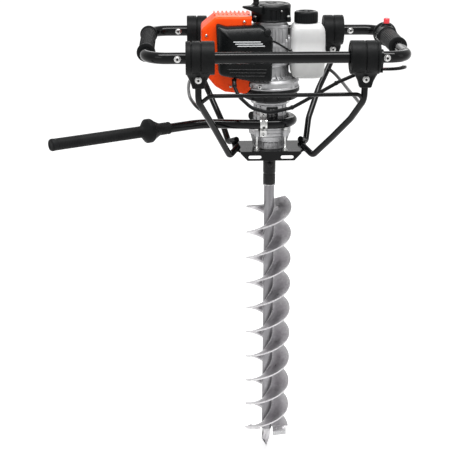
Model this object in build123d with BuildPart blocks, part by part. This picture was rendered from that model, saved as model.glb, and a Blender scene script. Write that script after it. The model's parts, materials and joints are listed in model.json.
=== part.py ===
from build123d import *
import math
import os

os.makedirs("parts", exist_ok=True)

# Petrol earth and ice auger, millimetres.
# Origin: drive axis where it crosses the underside of the base plate.
# +X to the operator's right handle, +Y to the rear, +Z up. The bit hangs down -Z.

# ------------------------------------------------------------------ dimensions
# frame weldment
plate_t = 4.0
plate_half_x = 97.0
plate_half_y = 58.0
plate_front_half_x = 78.0
plate_hole_r = 23.0
lip_drop = 20.0
lip_bottom_half_x = 60.0
slot_x = 41.3
slot_z = -11.0
slot_len = 33.0
slot_r = 4.5
arm_r = 8.0
arm_wall = 1.8
rail_r = 5.0
side_rail_r = 4.0

# handle bars
bar_z = 272.0
bar_y = 215.0
bar_r = 14.0
bar_wall = 2.0
loop_left_x = -312.0
loop_right_x = 314.0
loop_corner = 52.0
loop_right_corner = 48.0
lever_px, lever_pz = 248.4, 243.0
damper_r = 40.0
damper_fl = (-217.0, -148.0)
damper_fr = (174.0, 244.0)
damper_rl = (-211.0, -157.0)
damper_rr = (157.0, 211.0)

# drive train
gearbox_r = 54.0
clutch_r = 41.0
gear_m = 0.8
gear_pa = 25.0
z_pinion = 11
z_wheel = 53
gear_a = gear_m * (z_pinion + z_wheel) / 2
out_r = 10.0
reaction_z = 76.0
reaction_ring = 58.0
reaction_r = 11.0

# bit
bit_shaft_r = 13.5
bit_r = 60.0
flight_t = 4.0
flight_lead = 143.0
flight_bottom = -803.5
flight_a_h = 659.8
flight_b_h = 647.5
bit_tip = -862.0

# engine
fan_r = 74.0
case_x0, case_x1 = -40.0, 45.0
cyl_z = 276.0
starter_r = 50.0
starter_z0, starter_z1 = 330.0, 373.0
handle_x, handle_y = -40.0, -38.0


def gear_points(z, m, pa_deg, phase_deg, backlash):
    """Outline of an involute spur gear centred on 0,0; phase turns a tooth to +X."""
    pa = math.radians(pa_deg)
    rp = z * m / 2
    rb = rp * math.cos(pa)
    ra = rp + 0.92 * m
    rf = rp - 1.22 * m
    inv0 = math.tan(pa) - pa
    half0 = math.pi / (2 * z) + inv0 - backlash / (2 * rp)

    def half(r):
        if r <= rb:
            return half0
        a = math.acos(rb / r)
        return half0 - (math.tan(a) - a)

    radii = [rf, max(rb, rf + 0.01), (max(rb, rf) + rp) / 2, rp, (rp + ra) / 2, ra]
    pts = []
    for k in range(z):
        c = math.radians(phase_deg) + 2 * math.pi * k / z
        for r in radii:
            t = c - half(r)
            pts.append((r * math.cos(t), r * math.sin(t)))
        for r in reversed(radii):
            t = c + half(r)
            pts.append((r * math.cos(t), r * math.sin(t)))
    return pts


# ------------------------------------------------------------------ base plate
with BuildPart() as base_plate:
    with BuildSketch(Plane.XY):
        with BuildLine():
            Polyline(
                (-plate_front_half_x, -plate_half_y), (plate_front_half_x, -plate_half_y),
                (plate_half_x, -24), (plate_half_x, plate_half_y),
                (-plate_half_x, plate_half_y), (-plate_half_x, -24), close=True)
        make_face()
    extrude(amount=plate_t)
    # folded front lip, a trapezium hanging from the front edge
    with BuildSketch(Plane.XZ.offset(plate_half_y)):
        with BuildLine():
            Polyline(
                (-plate_front_half_x, plate_t), (plate_front_half_x, plate_t),
                (plate_front_half_x, -1), (lip_bottom_half_x, -lip_drop),
                (-lip_bottom_half_x, -lip_drop), (-plate_front_half_x, -1), close=True)
        make_face()
    extrude(amount=plate_t)
    with BuildSketch(Plane.XZ.offset(plate_half_y + plate_t + 1)):
        with Locations((-slot_x, slot_z), (slot_x, slot_z)):
            SlotOverall(slot_len, 2 * slot_r)
    extrude(amount=-(plate_t + 3), mode=Mode.SUBTRACT)
    with BuildSketch(Plane.XY.offset(-1)):
        Circle(plate_hole_r)
    extrude(amount=plate_t + 2, mode=Mode.SUBTRACT)
    # corner notches that the arms rise through, so that nothing hangs below the plate's own face
    for (x0, y0), (x1, y1) in (((-106, -70), (-88.0, -43.8)), ((106, -70), (88.0, -43.8)),
                               ((-104, 70), (-88.6, 45.4)), ((101, 68), (87.6, 44.4))):
        length = math.hypot(x1 - x0, y1 - y0)
        turn = math.degrees(math.atan2(y1 - y0, x1 - x0))
        with BuildSketch(Plane.XY.offset(-1)):
            with Locations(Location(((x0 + x1) / 2, (y0 + y1) / 2), turn)):
                Rectangle(length, 2 * (arm_r + 0.5))
        extrude(amount=plate_t + 2, mode=Mode.SUBTRACT)
base_plate.part.label = "base_plate"
export_step(base_plate.part, "parts/base_plate.step")

# ------------------------------------------------------------------ frame arms
front_l_pts = [(-187, -215, 231), (-187, -213, 166), (-146, -138, 82), (-106, -70, -4), (-84, -38, 12.05)]
front_r_pts = [(212, -215, 231), (211, -211, 168), (186, -166, 112), (149, -114, 54), (106, -70, -4), (84, -38, 12.05)]
rear_l_pts = [(-184, 215, 231), (-182, 212, 172), (-150, 174, 104), (-121, 118, 46), (-104, 70, -2), (-84, 38, 12.05)]
rear_r_pts = [(184, 215, 231), (181, 211, 186), (143, 172, 118), (112, 112, 52), (101, 68, -2), (84, 38, 12.05)]

with BuildPart() as arm_front_left:
    with BuildLine() as path:
        FilletPolyline(*front_l_pts, radius=[40, 200, 14])
    with BuildSketch(Plane(origin=path.line @ 0, z_dir=path.line % 0)):
        Circle(arm_r)
        Circle(arm_r - arm_wall, mode=Mode.SUBTRACT)
    sweep(path=path.line)
    add(base_plate.part, mode=Mode.SUBTRACT)
    with Locations(Pos(-187, -215, 221) * Rot(90, 0, 0)):
        Cylinder(4, 40, mode=Mode.SUBTRACT)
with BuildPart() as arm_front_right:
    with BuildLine() as path:
        FilletPolyline(*front_r_pts, radius=[40, 90, 90, 14])
    with BuildSketch(Plane(origin=path.line @ 0, z_dir=path.line % 0)):
        Circle(arm_r)
        Circle(arm_r - arm_wall, mode=Mode.SUBTRACT)
    sweep(path=path.line)
    add(base_plate.part, mode=Mode.SUBTRACT)
    with Locations(Pos(212, -215, 221) * Rot(90, 0, 0)):
        Cylinder(4, 40, mode=Mode.SUBTRACT)
with BuildPart() as arm_rear_left:
    with BuildLine() as path:
        FilletPolyline(*rear_l_pts, radius=[40, 90, 90, 14])
    with BuildSketch(Plane(origin=path.line @ 0, z_dir=path.line % 0)):
        Circle(arm_r)
        Circle(arm_r - arm_wall, mode=Mode.SUBTRACT)
    sweep(path=path.line)
    add(base_plate.part, mode=Mode.SUBTRACT)
    with Locations(Pos(-184, 215, 221) * Rot(90, 0, 0)):
        Cylinder(4, 40, mode=Mode.SUBTRACT)
with BuildPart() as arm_rear_right:
    with BuildLine() as path:
        FilletPolyline(*rear_r_pts, radius=[40, 90, 90, 14])
    with BuildSketch(Plane(origin=path.line @ 0, z_dir=path.line % 0)):
        Circle(arm_r)
        Circle(arm_r - arm_wall, mode=Mode.SUBTRACT)
    sweep(path=path.line)
    add(base_plate.part, mode=Mode.SUBTRACT)
    with Locations(Pos(184, 215, 221) * Rot(90, 0, 0)):
        Cylinder(4, 40, mode=Mode.SUBTRACT)
for b, n in ((arm_front_left, "arm_front_left"), (arm_front_right, "arm_front_right"),
             (arm_rear_left, "arm_rear_left"), (arm_rear_right, "arm_rear_right")):
    b.part.label = n
    export_step(b.part, f"parts/{n}.step")

# solid envelopes of the arms, used only to trim what is welded against them
with BuildPart() as arm_env:
    for pts, rad in ((front_l_pts, [40, 200, 14]), (front_r_pts, [40, 90, 90, 14]),
                     (rear_l_pts, [40, 90, 90, 14]), (rear_r_pts, [40, 90, 90, 14])):
        with BuildLine() as path:
            FilletPolyline(*pts, radius=rad)
        with BuildSketch(Plane(origin=path.line @ 0, z_dir=path.line % 0)):
            Circle(arm_r + 0.02)
        sweep(path=path.line)

# ------------------------------------------------------------------ rails
with BuildPart() as front_rail:
    with BuildLine() as path:
        FilletPolyline((-184, -207, 160), (-160, -222, 182), (196, -222, 184), (209, -205, 168), radius=[16, 14])
    with BuildSketch(Plane(origin=path.line @ 0, z_dir=path.line % 0)):
        Circle(rail_r)
    sweep(path=path.line)
    add(arm_env.part, mode=Mode.SUBTRACT)
front_rail_rod = front_rail.part.solids().sort_by(SortBy.VOLUME)[-1]
front_rail_rod.label = "front_rail"
export_step(front_rail_rod, "parts/front_rail.step")

with BuildPart() as side_rail_left:
    with BuildLine() as path:
        FilletPolyline((-183, -204, 154), (-213, -110, 152), (-213, 110, 152), (-177, 204, 158), radius=[90, 90])
    with BuildSketch(Plane(origin=path.line @ 0, z_dir=path.line % 0)):
        Circle(side_rail_r)
    sweep(path=path.line)
    add(arm_env.part, mode=Mode.SUBTRACT)
with BuildPart() as side_rail_right:
    with BuildLine() as path:
        FilletPolyline((205, -201, 153), (211, -110, 150), (196, 110, 154), (171, 200, 170), radius=[120, 120])
    with BuildSketch(Plane(origin=path.line @ 0, z_dir=path.line % 0)):
        Circle(side_rail_r)
    sweep(path=path.line)
    add(arm_env.part, mode=Mode.SUBTRACT)
side_rails = Compound(label="side_rails", children=[
    side_rail_left.part.solids().sort_by(SortBy.VOLUME)[-1], side_rail_right.part.solids().sort_by(SortBy.VOLUME)[-1]])
export_step(side_rails, "parts/side_rails.step")

# ------------------------------------------------------------------ bars and handle loops
with BuildPart() as front_bar:
    with BuildSketch(Plane.YZ.offset(-180)):
        with Locations((-bar_y, bar_z)):
            Circle(bar_r)
            Circle(bar_r - bar_wall, mode=Mode.SUBTRACT)
    extrude(amount=387)
front_bar.part.label = "front_bar"
export_step(front_bar.part, "parts/front_bar.step")

with BuildPart() as rear_bar:
    with BuildSketch(Plane.YZ.offset(-182)):
        with Locations((bar_y, bar_z)):
            Circle(bar_r)
            Circle(bar_r - bar_wall, mode=Mode.SUBTRACT)
    extrude(amount=364)
rear_bar.part.label = "rear_bar"
export_step(rear_bar.part, "parts/rear_bar.step")

with BuildPart() as handle_loop_left:
    with BuildLine() as path:
        FilletPolyline((-184, -bar_y, bar_z), (loop_left_x, -bar_y, bar_z), (loop_left_x, bar_y, bar_z),
                       (-186, bar_y, bar_z), radius=loop_corner)
    with BuildSketch(Plane(origin=path.line @ 0, z_dir=path.line % 0)):
        Circle(bar_r)
        Circle(bar_r - bar_wall, mode=Mode.SUBTRACT)
    sweep(path=path.line)
    with Locations(Pos(-236, -bar_y, bar_z) * Rot(90, 0, 0), Pos(-234, bar_y, bar_z) * Rot(90, 0, 0)):
        Cylinder(4, 40, mode=Mode.SUBTRACT)
handle_loop_left.part.label = "handle_loop_left"
export_step(handle_loop_left.part, "parts/handle_loop_left.step")

with BuildPart() as handle_loop_right:
    with BuildLine() as path:
        FilletPolyline((211, -bar_y, bar_z), (loop_right_x, -bar_y, bar_z), (loop_right_x, bar_y, bar_z),
                       (186, bar_y, bar_z), radius=loop_right_corner)
    with BuildSketch(Plane(origin=path.line @ 0, z_dir=path.line % 0)):
        Circle(bar_r)
        Circle(bar_r - bar_wall, mode=Mode.SUBTRACT)
    sweep(path=path.line)
    with Locations(Pos(260.5, -bar_y, bar_z) * Rot(90, 0, 0), Pos(230, bar_y, bar_z) * Rot(90, 0, 0)):
        Cylinder(4, 40, mode=Mode.SUBTRACT)
handle_loop_right.part.label = "handle_loop_right"
export_step(handle_loop_right.part, "parts/handle_loop_right.step")

# ------------------------------------------------------------------ rubber dampers
# each is a moulded sleeve about the bar, with grooves between its sections
damper_specs = (
    ("damper_front_left", ((damper_fl, -bar_y, (-201.0, -178.0)),)),
    ("damper_front_right", ((damper_fr, -bar_y, (209.0, 237.0)),)),
    ("rear_dampers", ((damper_rl, bar_y, (-184.0,)), (damper_rr, bar_y, (184.0,)))),
)
for n, group in damper_specs:
    with BuildPart() as damper:
        for (x0, x1), y, grooves in group:
            with BuildSketch(Plane.YZ.offset(x0)):
                with Locations((y, bar_z)):
                    Circle(damper_r)
                    Circle(bar_r, mode=Mode.SUBTRACT)
            extrude(amount=x1 - x0)
            for g in grooves:
                with BuildSketch(Plane.YZ.offset(g - 1)):
                    with Locations((y, bar_z)):
                        Circle(damper_r + 2)
                        Circle(damper_r - 3, mode=Mode.SUBTRACT)
                extrude(amount=2, mode=Mode.SUBTRACT)
    damper.part.label = n
    export_step(damper.part, f"parts/{n}.step")

# tapered brackets from each damper down to the arm's top, with a socket for the tube
with BuildPart() as damper_brackets:
    for cx, y, w in ((-187, -bar_y, 30), (212, -bar_y, 30), (-184, bar_y, 25), (184, bar_y, 25)):
        with BuildSketch(Plane.XZ.offset(-(y - 12))):
            with BuildLine():
                Polyline((cx - w, 252), (cx + w, 252), (cx + 19, 216), (cx + 15, 200),
                         (cx - 15, 200), (cx - 19, 216), close=True)
            make_face()
        extrude(amount=-24)
    for cx, y in ((-187, -bar_y), (212, -bar_y), (-184, bar_y), (184, bar_y)):
        with Locations(Pos(cx, y, 221) * Rot(90, 0, 0)):
            Cylinder(4, 60, mode=Mode.SUBTRACT)
    for y in (-bar_y, bar_y):
        with Locations(Pos(0, y, bar_z) * Rot(0, 90, 0)):
            Cylinder(damper_r, 560, mode=Mode.SUBTRACT)
    add(arm_env.part, mode=Mode.SUBTRACT)
damper_brackets.part.label = "damper_brackets"
export_step(damper_brackets.part, "parts/damper_brackets.step")

# ------------------------------------------------------------------ frame bolts
# hexagon head, washer, shank through, nut: four on the loops, four on the brackets
with BuildPart() as frame_bolts:
    for x, y, z, g in ((-236, -bar_y, bar_z, bar_r), (-234, bar_y, bar_z, bar_r), (260.5, -bar_y, bar_z, bar_r),
                       (230, bar_y, bar_z, bar_r), (-187, -bar_y, 221, 12), (212, -bar_y, 221, 12),
                       (-184, bar_y, 221, 12), (184, bar_y, 221, 12)):
        with BuildSketch(Plane.XZ.offset(-(y - g))):
            with Locations((x, z)):
                Circle(8)
        extrude(amount=1.5)
        with BuildSketch(Plane.XZ.offset(-(y - g - 1.5))):
            with Locations((x, z)):
                RegularPolygon(6.5, 6)
        extrude(amount=5)
        with BuildSketch(Plane.XZ.offset(-(y - g))):
            with Locations((x, z)):
                Circle(3.95)
        extrude(amount=-(2 * g + 8))
        with BuildSketch(Plane.XZ.offset(-(y + g))):
            with Locations((x, z)):
                RegularPolygon(6.5, 6)
        extrude(amount=-6)
    # pivot pin of the throttle lever
    with BuildSketch(Plane.XZ.offset(bar_y + 9.8)):
        with Locations((lever_px, lever_pz)):
            Circle(2.5)
    extrude(amount=-19.6)
frame_bolts.part.label = "frame_bolts"
export_step(frame_bolts.part, "parts/frame_bolts.step")

# ------------------------------------------------------------------ left rubber grip
with BuildPart() as grip_left:
    with BuildSketch(Plane.XZ.offset(-157)):
        with Locations((loop_left_x, bar_z)):
            Circle(19.5)
            Circle(bar_r, mode=Mode.SUBTRACT)
    extrude(amount=292)
    for y in (157, -127):
        with BuildSketch(Plane.XZ.offset(-y)):
            with Locations((loop_left_x, bar_z)):
                Circle(23)
                Circle(bar_r, mode=Mode.SUBTRACT)
        extrude(amount=8)
grip_left.part.label = "grip_left"
export_step(grip_left.part, "parts/grip_left.step")

# ------------------------------------------------------------------ right throttle grip
button_y = 122.0
with BuildPart() as throttle_grip:
    with BuildSketch(Plane.XZ.offset(-148)):
        with Locations((loop_right_x, bar_z)):
            Circle(26)
            Circle(bar_r, mode=Mode.SUBTRACT)
    extrude(amount=56)
    with BuildSketch(Plane.XZ.offset(-148)):
        with Locations((loop_right_x, bar_z)):
            Circle(31)
            Circle(bar_r, mode=Mode.SUBTRACT)
    extrude(amount=6)
    with BuildSketch(Plane.XZ.offset(-92)):
        with Locations((loop_right_x, bar_z)):
            Circle(22)
            Circle(bar_r, mode=Mode.SUBTRACT)
    extrude(amount=156)
    with BuildSketch(Plane.XY.offset(bar_z + 18)):
        with Locations((loop_right_x, button_y)):
            Circle(12)
    extrude(amount=13)
    with BuildSketch(Plane.XY.offset(bar_z + 20)):
        with Locations((loop_right_x, button_y)):
            Circle(8.3)
    extrude(amount=20, mode=Mode.SUBTRACT)
throttle_grip.part.label = "throttle_grip"
export_step(throttle_grip.part, "parts/throttle_grip.step")

with BuildPart() as stop_button:
    with BuildSketch(Plane.XY.offset(bar_z + 24)):
        with Locations((loop_right_x, button_y)):
            Circle(8.0)
    extrude(amount=20)
    fillet(stop_button.edges().group_by(Axis.Z)[-1], radius=2)
stop_button.part.label = "stop_button"
export_step(stop_button.part, "parts/stop_button.step")

# ------------------------------------------------------------------ throttle lever and its bracket
with BuildPart() as lever_bracket:
    with BuildSketch(Plane.YZ.offset(244.1)):
        with Locations((-bar_y, bar_z)):
            Circle(19)
        with BuildLine():
            Polyline((-bar_y - 11, bar_z), (-bar_y + 11, bar_z), (-bar_y + 9, 236), (-bar_y - 9, 236), close=True)
        make_face()
        with Locations((-bar_y, bar_z)):
            Circle(bar_r, mode=Mode.SUBTRACT)
    extrude(amount=8)
    with Locations((lever_px + 2, -bar_y, lever_pz)):
        Box(22, 10.6, 18, mode=Mode.SUBTRACT)
    with Locations(Pos(lever_px, -bar_y, lever_pz) * Rot(90, 0, 0)):
        Cylinder(2.5, 40, mode=Mode.SUBTRACT)
lever_bracket.part.label = "lever_bracket"
export_step(lever_bracket.part, "parts/lever_bracket.step")

with BuildPart() as throttle_lever:
    with BuildSketch(Plane.XY.offset(lever_pz - 3)):
        with BuildLine():
            l1 = Line((lever_px - 4, -bar_y - 5), (266, -bar_y - 5))
            a1 = CenterArc((266, -167), 53, -90, 68)
            a2 = CenterArc((266, -167), 43, -90, 68)
            l2 = Line(a1 @ 1, a2 @ 1)
            l3 = Line((266, -bar_y + 5), (lever_px - 4, -bar_y + 5))
            l4 = Line((lever_px - 4, -bar_y + 5), (lever_px - 4, -bar_y - 5))
        make_face()
    extrude(amount=6)
    with Locations(Pos(lever_px, -bar_y, lever_pz) * Rot(90, 0, 0)):
        Cylinder(2.56, 40, mode=Mode.SUBTRACT)
throttle_lever.part.label = "throttle_lever"
export_step(throttle_lever.part, "parts/throttle_lever.step")

# ------------------------------------------------------------------ control cable, held at both ends
with BuildPart() as control_cable:
    with BuildLine() as path:
        FilletPolyline(
            (249, -203.6, 243), (249, -168, 238), (207, -158, 224), (155, -156, 201), (100, -150, 168), (44, -146, 136),
            (-12, -144, 123), (-55, -138, 134), (-86, -122, 160), (-96, -98, 180), (-96, -84, 195), radius=[22, 50, 60, 60, 60, 60, 45, 40, 24])
    with BuildSketch(Plane(origin=path.line @ 0, z_dir=path.line % 0)):
        Circle(4.5)
    sweep(path=path.line)
control_cable.part.label = "control_cable"
export_step(control_cable.part, "parts/control_cable.step")

# ------------------------------------------------------------------ gearbox
gb_top = 57.0
with BuildPart() as gearbox_housing:
    with BuildSketch(Plane.XZ):
        with BuildLine():
            Polyline(
                (16, plate_t), (42, plate_t), (42, 22), (47, 24), (50, 38), (gearbox_r, 41), (gearbox_r, gb_top),
                (49.2, gb_top), (49.2, 42), (38, 42), (38, 21), (21, 21), (21, 8), (16, 8), close=True)
        make_face()
    revolve(axis=Axis.Z)
    with BuildSketch(Plane.XY.offset(14)):
        with Locations((gear_a, 0)):
            Circle(3.06)
    extrude(amount=10, mode=Mode.SUBTRACT)
gearbox_housing.part.label = "gearbox_housing"
export_step(gearbox_housing.part, "parts/gearbox_housing.step")

with BuildPart() as gearbox_studs:
    for sx in (-1, 1):
        for sy in (-1, 1):
            with BuildSketch(Plane.XY.offset(plate_t)):
                with Locations((sx * 36, sy * 50)):
                    Circle(3)
            extrude(amount=58)
            with BuildSketch(Plane.XY.offset(plate_t)):
                with Locations((sx * 36, sy * 50)):
                    RegularPolygon(5.6, 6)
            extrude(amount=6)
gearbox_studs.part.label = "gearbox_studs"
export_step(gearbox_studs.part, "parts/gearbox_studs.step")

with BuildPart() as clutch_housing:
    with BuildSketch(Plane.XZ):
        with BuildLine():
            Polyline(
                (14, gb_top), (gearbox_r, gb_top), (gearbox_r, 62), (clutch_r, 62), (clutch_r, 118), (49, 121), (49, 126),
                (36.5, 126), (36.5, 68), (14, 68), close=True)
        make_face()
    revolve(axis=Axis.Z)
    # four clear holes over the studs, and a vent window in the front of the neck
    with Locations((36, 50, 60), (-36, 50, 60), (36, -50, 60), (-36, -50, 60)):
        Cylinder(6.0, 12, mode=Mode.SUBTRACT)
    with Locations((4, -40, 108)):
        Box(26, 16, 14, mode=Mode.SUBTRACT)
    with BuildSketch(Plane.XY.offset(gb_top - 1)):
        with Locations((gear_a, 0)):
            Circle(3.06)
    extrude(amount=5.5, mode=Mode.SUBTRACT)
clutch_housing.part.label = "clutch_housing"
export_step(clutch_housing.part, "parts/clutch_housing.step")

# reaction bar: a hook round the clutch housing, then out to the left with one bend
ring_end = math.radians(140)
with BuildPart() as reaction_bar:
    with BuildLine() as path:
        # arc from the rear left, round the right-hand side, to the front
        c1 = CenterArc((0, 0, reaction_z), reaction_ring, 140, -225)
        tang = c1 % 1
        p1 = c1 @ 1
        k = Vector(-176, -42, reaction_z)
        # straight run to the bend, the bend, and the long run to the end
        FilletPolyline((p1.X, p1.Y, reaction_z), (p1.X + tang.X * 34, p1.Y + tang.Y * 34, reaction_z),
                       (-176, -44, reaction_z), (-536, -264, reaction_z), radius=[90, 110])
    with BuildSketch(Plane(origin=c1 @ 0, z_dir=c1 % 0)):
        Circle(reaction_r)
        Circle(reaction_r - 2, mode=Mode.SUBTRACT)
    sweep(path=path.line)
reaction_bar.part.label = "reaction_bar"
export_step(reaction_bar.part, "parts/reaction_bar.step")

bar_dir = Vector(-360, -220, 0).normalized()
bar_end = Vector(-536, -264, reaction_z)
with BuildPart() as reaction_grip:
    with BuildSketch(Plane(origin=bar_end - bar_dir * 326, x_dir=(0, 0, 1), z_dir=bar_dir)):
        Circle(15.5)
    extrude(amount=60)
    with BuildSketch(Plane(origin=bar_end - bar_dir * 268, x_dir=(0, 0, 1), z_dir=bar_dir)):
        Circle(30)
    extrude(amount=10)
    with BuildSketch(Plane(origin=bar_end - bar_dir * 266, x_dir=(0, 0, 1), z_dir=bar_dir)):
        Circle(14.5)
    extrude(amount=269)
    with BuildSketch(Plane(origin=bar_end, x_dir=(0, 0, 1), z_dir=bar_dir)):
        Circle(reaction_r + 0.02)
    extrude(amount=-330, mode=Mode.SUBTRACT)
reaction_grip.part.label = "reaction_grip"
export_step(reaction_grip.part, "parts/reaction_grip.step")

# bands that hold the reaction bar's ring against the clutch housing, front and rear
with BuildPart() as reaction_clamps:
    for s in (-1, 1):
        x0 = -29.0 if s < 0 else 8.0
        with BuildSketch(Plane.YZ.offset(x0)):
            with Locations((s * reaction_ring, reaction_z)):
                Circle(reaction_r + 4.6)
                Circle(reaction_r + 2.4, mode=Mode.SUBTRACT)
            with Locations((s * (reaction_ring - 11), reaction_z)):
                Rectangle(18, 40, mode=Mode.SUBTRACT)
            with Locations((s * 56, reaction_z + 15.5), (s * 56, reaction_z - 15.5)):
                Rectangle(8, 2.2)
        extrude(amount=18)
    add(clutch_housing.part, mode=Mode.SUBTRACT)
reaction_clamps.part.label = "reaction_clamps"
export_step(reaction_clamps.part, "parts/reaction_clamps.step")

with BuildPart() as shaft_bearings:
    # output bearing in the gearbox foot, input bearing in the clutch housing floor,
    # and the two main bearings of the crankshaft
    for r0, r1, z0, h in ((out_r + 0.05, 21.0, 9.0, 11.5), (5.05, 14.0, 57.5, 9.0),
                          (8.05, 16.0, 226.0, 9.0), (8.05, 16.0, 306.0, 9.0)):
        with BuildSketch(Plane.XY.offset(z0)):
            Circle(r1)
            Circle(r0, mode=Mode.SUBTRACT)
        extrude(amount=h)
shaft_bearings.part.label = "shaft_bearings"
export_step(shaft_bearings.part, "parts/shaft_bearings.step")

# first stage: pinion on the clutch drum at z 44-52 drives the layshaft wheel;
# second stage: layshaft pinion at z 28-38 drives the wheel on the output shaft
gb_clear = 0.16
with BuildPart() as clutch_drum:
    with BuildSketch(Plane.XZ):
        with BuildLine():
            Polyline((0, 52), (5, 52), (5, 80), (33, 80), (33, 108), (30.5, 108), (30.5, 83), (0, 83), close=True)
        make_face()
    revolve(axis=Axis.Z)
    with BuildSketch(Plane.XY.offset(44.2)):
        with BuildLine():
            Polyline(*gear_points(z_pinion, gear_m, gear_pa, 0, gb_clear), close=True)
        make_face()
    extrude(amount=7.8)
clutch_drum.part.label = "clutch_drum"
export_step(clutch_drum.part, "parts/clutch_drum.step")

with BuildPart() as lay_gear:
    with BuildSketch(Plane.XY.offset(44.7)):
        with BuildLine():
            Polyline(*[(x + gear_a, y) for x, y in gear_points(z_wheel, gear_m, gear_pa, 180 + 180 / z_wheel, gb_clear)], close=True)
        make_face()
    extrude(amount=7)
    with BuildSketch(Plane.XY.offset(28)):
        with BuildLine():
            Polyline(*[(x + gear_a, y) for x, y in gear_points(z_pinion, gear_m, gear_pa, 180, gb_clear)], close=True)
        make_face()
    extrude(amount=16.7)
    with BuildSketch(Plane.XY.offset(15)):
        with Locations((gear_a, 0)):
            Circle(3.0)
    extrude(amount=45)
lay_gear.part.label = "lay_gear"
export_step(lay_gear.part, "parts/lay_gear.step")

with BuildPart() as main_gear:
    with BuildSketch(Plane.XY.offset(29)):
        with BuildLine():
            Polyline(*gear_points(z_wheel, gear_m, gear_pa, 180 / z_wheel, gb_clear), close=True)
        make_face()
        Circle(out_r, mode=Mode.SUBTRACT)
    extrude(amount=9)
main_gear.part.label = "main_gear"
export_step(main_gear.part, "parts/main_gear.step")

with BuildPart() as output_shaft:
    with BuildSketch(Plane.XY.offset(-74)):
        Circle(out_r)
    extrude(amount=114)
    with BuildSketch(Plane.XY.offset(21.2)):
        Circle(13)
    extrude(amount=7)
    with Locations(Pos(0, 0, -42) * Rot(90, 0, 0)):
        Cylinder(4, 40, mode=Mode.SUBTRACT)
output_shaft.part.label = "output_shaft"
export_step(output_shaft.part, "parts/output_shaft.step")

# ------------------------------------------------------------------ coupling and bit
with BuildPart() as coupling_sleeve:
    with BuildSketch(Plane.XZ):
        with BuildLine():
            Polyline((out_r, -8), (16, -8), (16.5, -10), (16.5, -95), (14.5, -98), (bit_shaft_r + 0.02, -98),
                     (bit_shaft_r + 0.02, -78), (out_r, -78), close=True)
        make_face()
    revolve(axis=Axis.Z)
    with Locations(Pos(0, 0, -42) * Rot(90, 0, 0)):
        Cylinder(4, 40, mode=Mode.SUBTRACT)
coupling_sleeve.part.label = "coupling_sleeve"
export_step(coupling_sleeve.part, "parts/coupling_sleeve.step")

with BuildPart() as coupling_pin:
    with BuildSketch(Plane.XZ.offset(-22)):
        with Locations((0, -42)):
            Circle(3.95)
    extrude(amount=42)
    with BuildSketch(Plane.XZ.offset(20)):
        with Locations((0, -42)):
            Circle(6)
    extrude(amount=3)
coupling_pin.part.label = "coupling_pin"
export_step(coupling_pin.part, "parts/coupling_pin.step")

with BuildPart() as bit_shaft:
    with BuildSketch(Plane.XY.offset(-806)):
        Circle(bit_shaft_r)
        Circle(bit_shaft_r - 3, mode=Mode.SUBTRACT)
    extrude(amount=727.5)
    with BuildSketch(Plane.XY.offset(-806)):
        Circle(bit_shaft_r)
    extrude(amount=12)
bit_shaft.part.label = "bit_shaft"
export_step(bit_shaft.part, "parts/bit_shaft.step")

# two right-hand flights, half a turn apart, ending at the cutters
mid_r = (bit_shaft_r + 0.05 + bit_r) / 2
flight_w = bit_r - bit_shaft_r - 0.05
flights = []
for turn, rise in ((180, flight_a_h), (0, flight_b_h)):
    with BuildPart() as flight:
        with BuildLine(Plane.XY.offset(flight_bottom)) as path:
            Helix(flight_lead, rise, mid_r)
        with BuildSketch(Plane(origin=path.line @ 0, x_dir=(1, 0, 0), z_dir=path.line % 0)):
            Rectangle(flight_w, flight_t)
        sweep(path=path.line, is_frenet=True)
    flights.append(flight.part.solid().rotate(Axis.Z, turn))
bit_flights = Compound(label="bit_flights", children=flights)
export_step(bit_flights, "parts/bit_flights.step")

# cutters: flat plates butted on the leading ends of the flights, raked down
rake = math.radians(38)
with BuildPart() as cutter_blades:
    for s in (1, -1):
        d = Vector(0, -s * math.cos(rake), -math.sin(rake))
        n = Vector(0, -s * math.sin(rake), math.cos(rake))
        o = Vector(s * 34.5, 0, flight_bottom) + d * 0.5
        with BuildSketch(Plane(origin=o - n * 2.5, x_dir=(s, 0, 0), z_dir=n)):
            with BuildLine():
                Polyline((-18, 0), (19, 0), (19, -24), (-18, -28), close=True)
            make_face()
        extrude(amount=5)
    with BuildSketch(Plane.XY.offset(-840)):
        Circle(bit_shaft_r + 0.1)
    extrude(amount=80, mode=Mode.SUBTRACT)
cutter_blades.part.label = "cutter_blades"
export_step(cutter_blades.part, "parts/cutter_blades.step")

with BuildPart() as pilot_point:
    with BuildSketch(Plane.XZ.offset(-3.5)):
        with BuildLine():
            Polyline((-11, -806), (-9, -821), (-13, -840), (-6.5, -843), (0, bit_tip), (7.5, -838), (10, -824), (11, -806), close=True)
        make_face()
    extrude(amount=7)
pilot_point.part.label = "pilot_point"
export_step(pilot_point.part, "parts/pilot_point.step")

# ------------------------------------------------------------------ engine mounting and fan housing
with BuildPart() as mounting_flange:
    with BuildSketch(Plane.XZ):
        with BuildLine():
            Polyline((34, 126), (50, 126), (68, 134), (68, 148), (74, 152), (75, 156), (75, 162), (20, 162), (20, 152), (34, 144), close=True)
        make_face()
    revolve(axis=Axis.Z)
mounting_flange.part.label = "mounting_flange"
export_step(mounting_flange.part, "parts/mounting_flange.step")

with BuildPart() as fan_housing:
    with BuildSketch(Plane.XZ):
        with BuildLine():
            Polyline((68, 162), (fan_r, 162), (fan_r, 180), (69, 187), (47, 189), (46, 222), (18, 222), (18, 217), (40, 217), (40, 184), (66, 182), (68, 178), close=True)
        make_face()
    revolve(axis=Axis.Z)
fan_housing.part.label = "fan_housing"
export_step(fan_housing.part, "parts/fan_housing.step")

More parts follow.
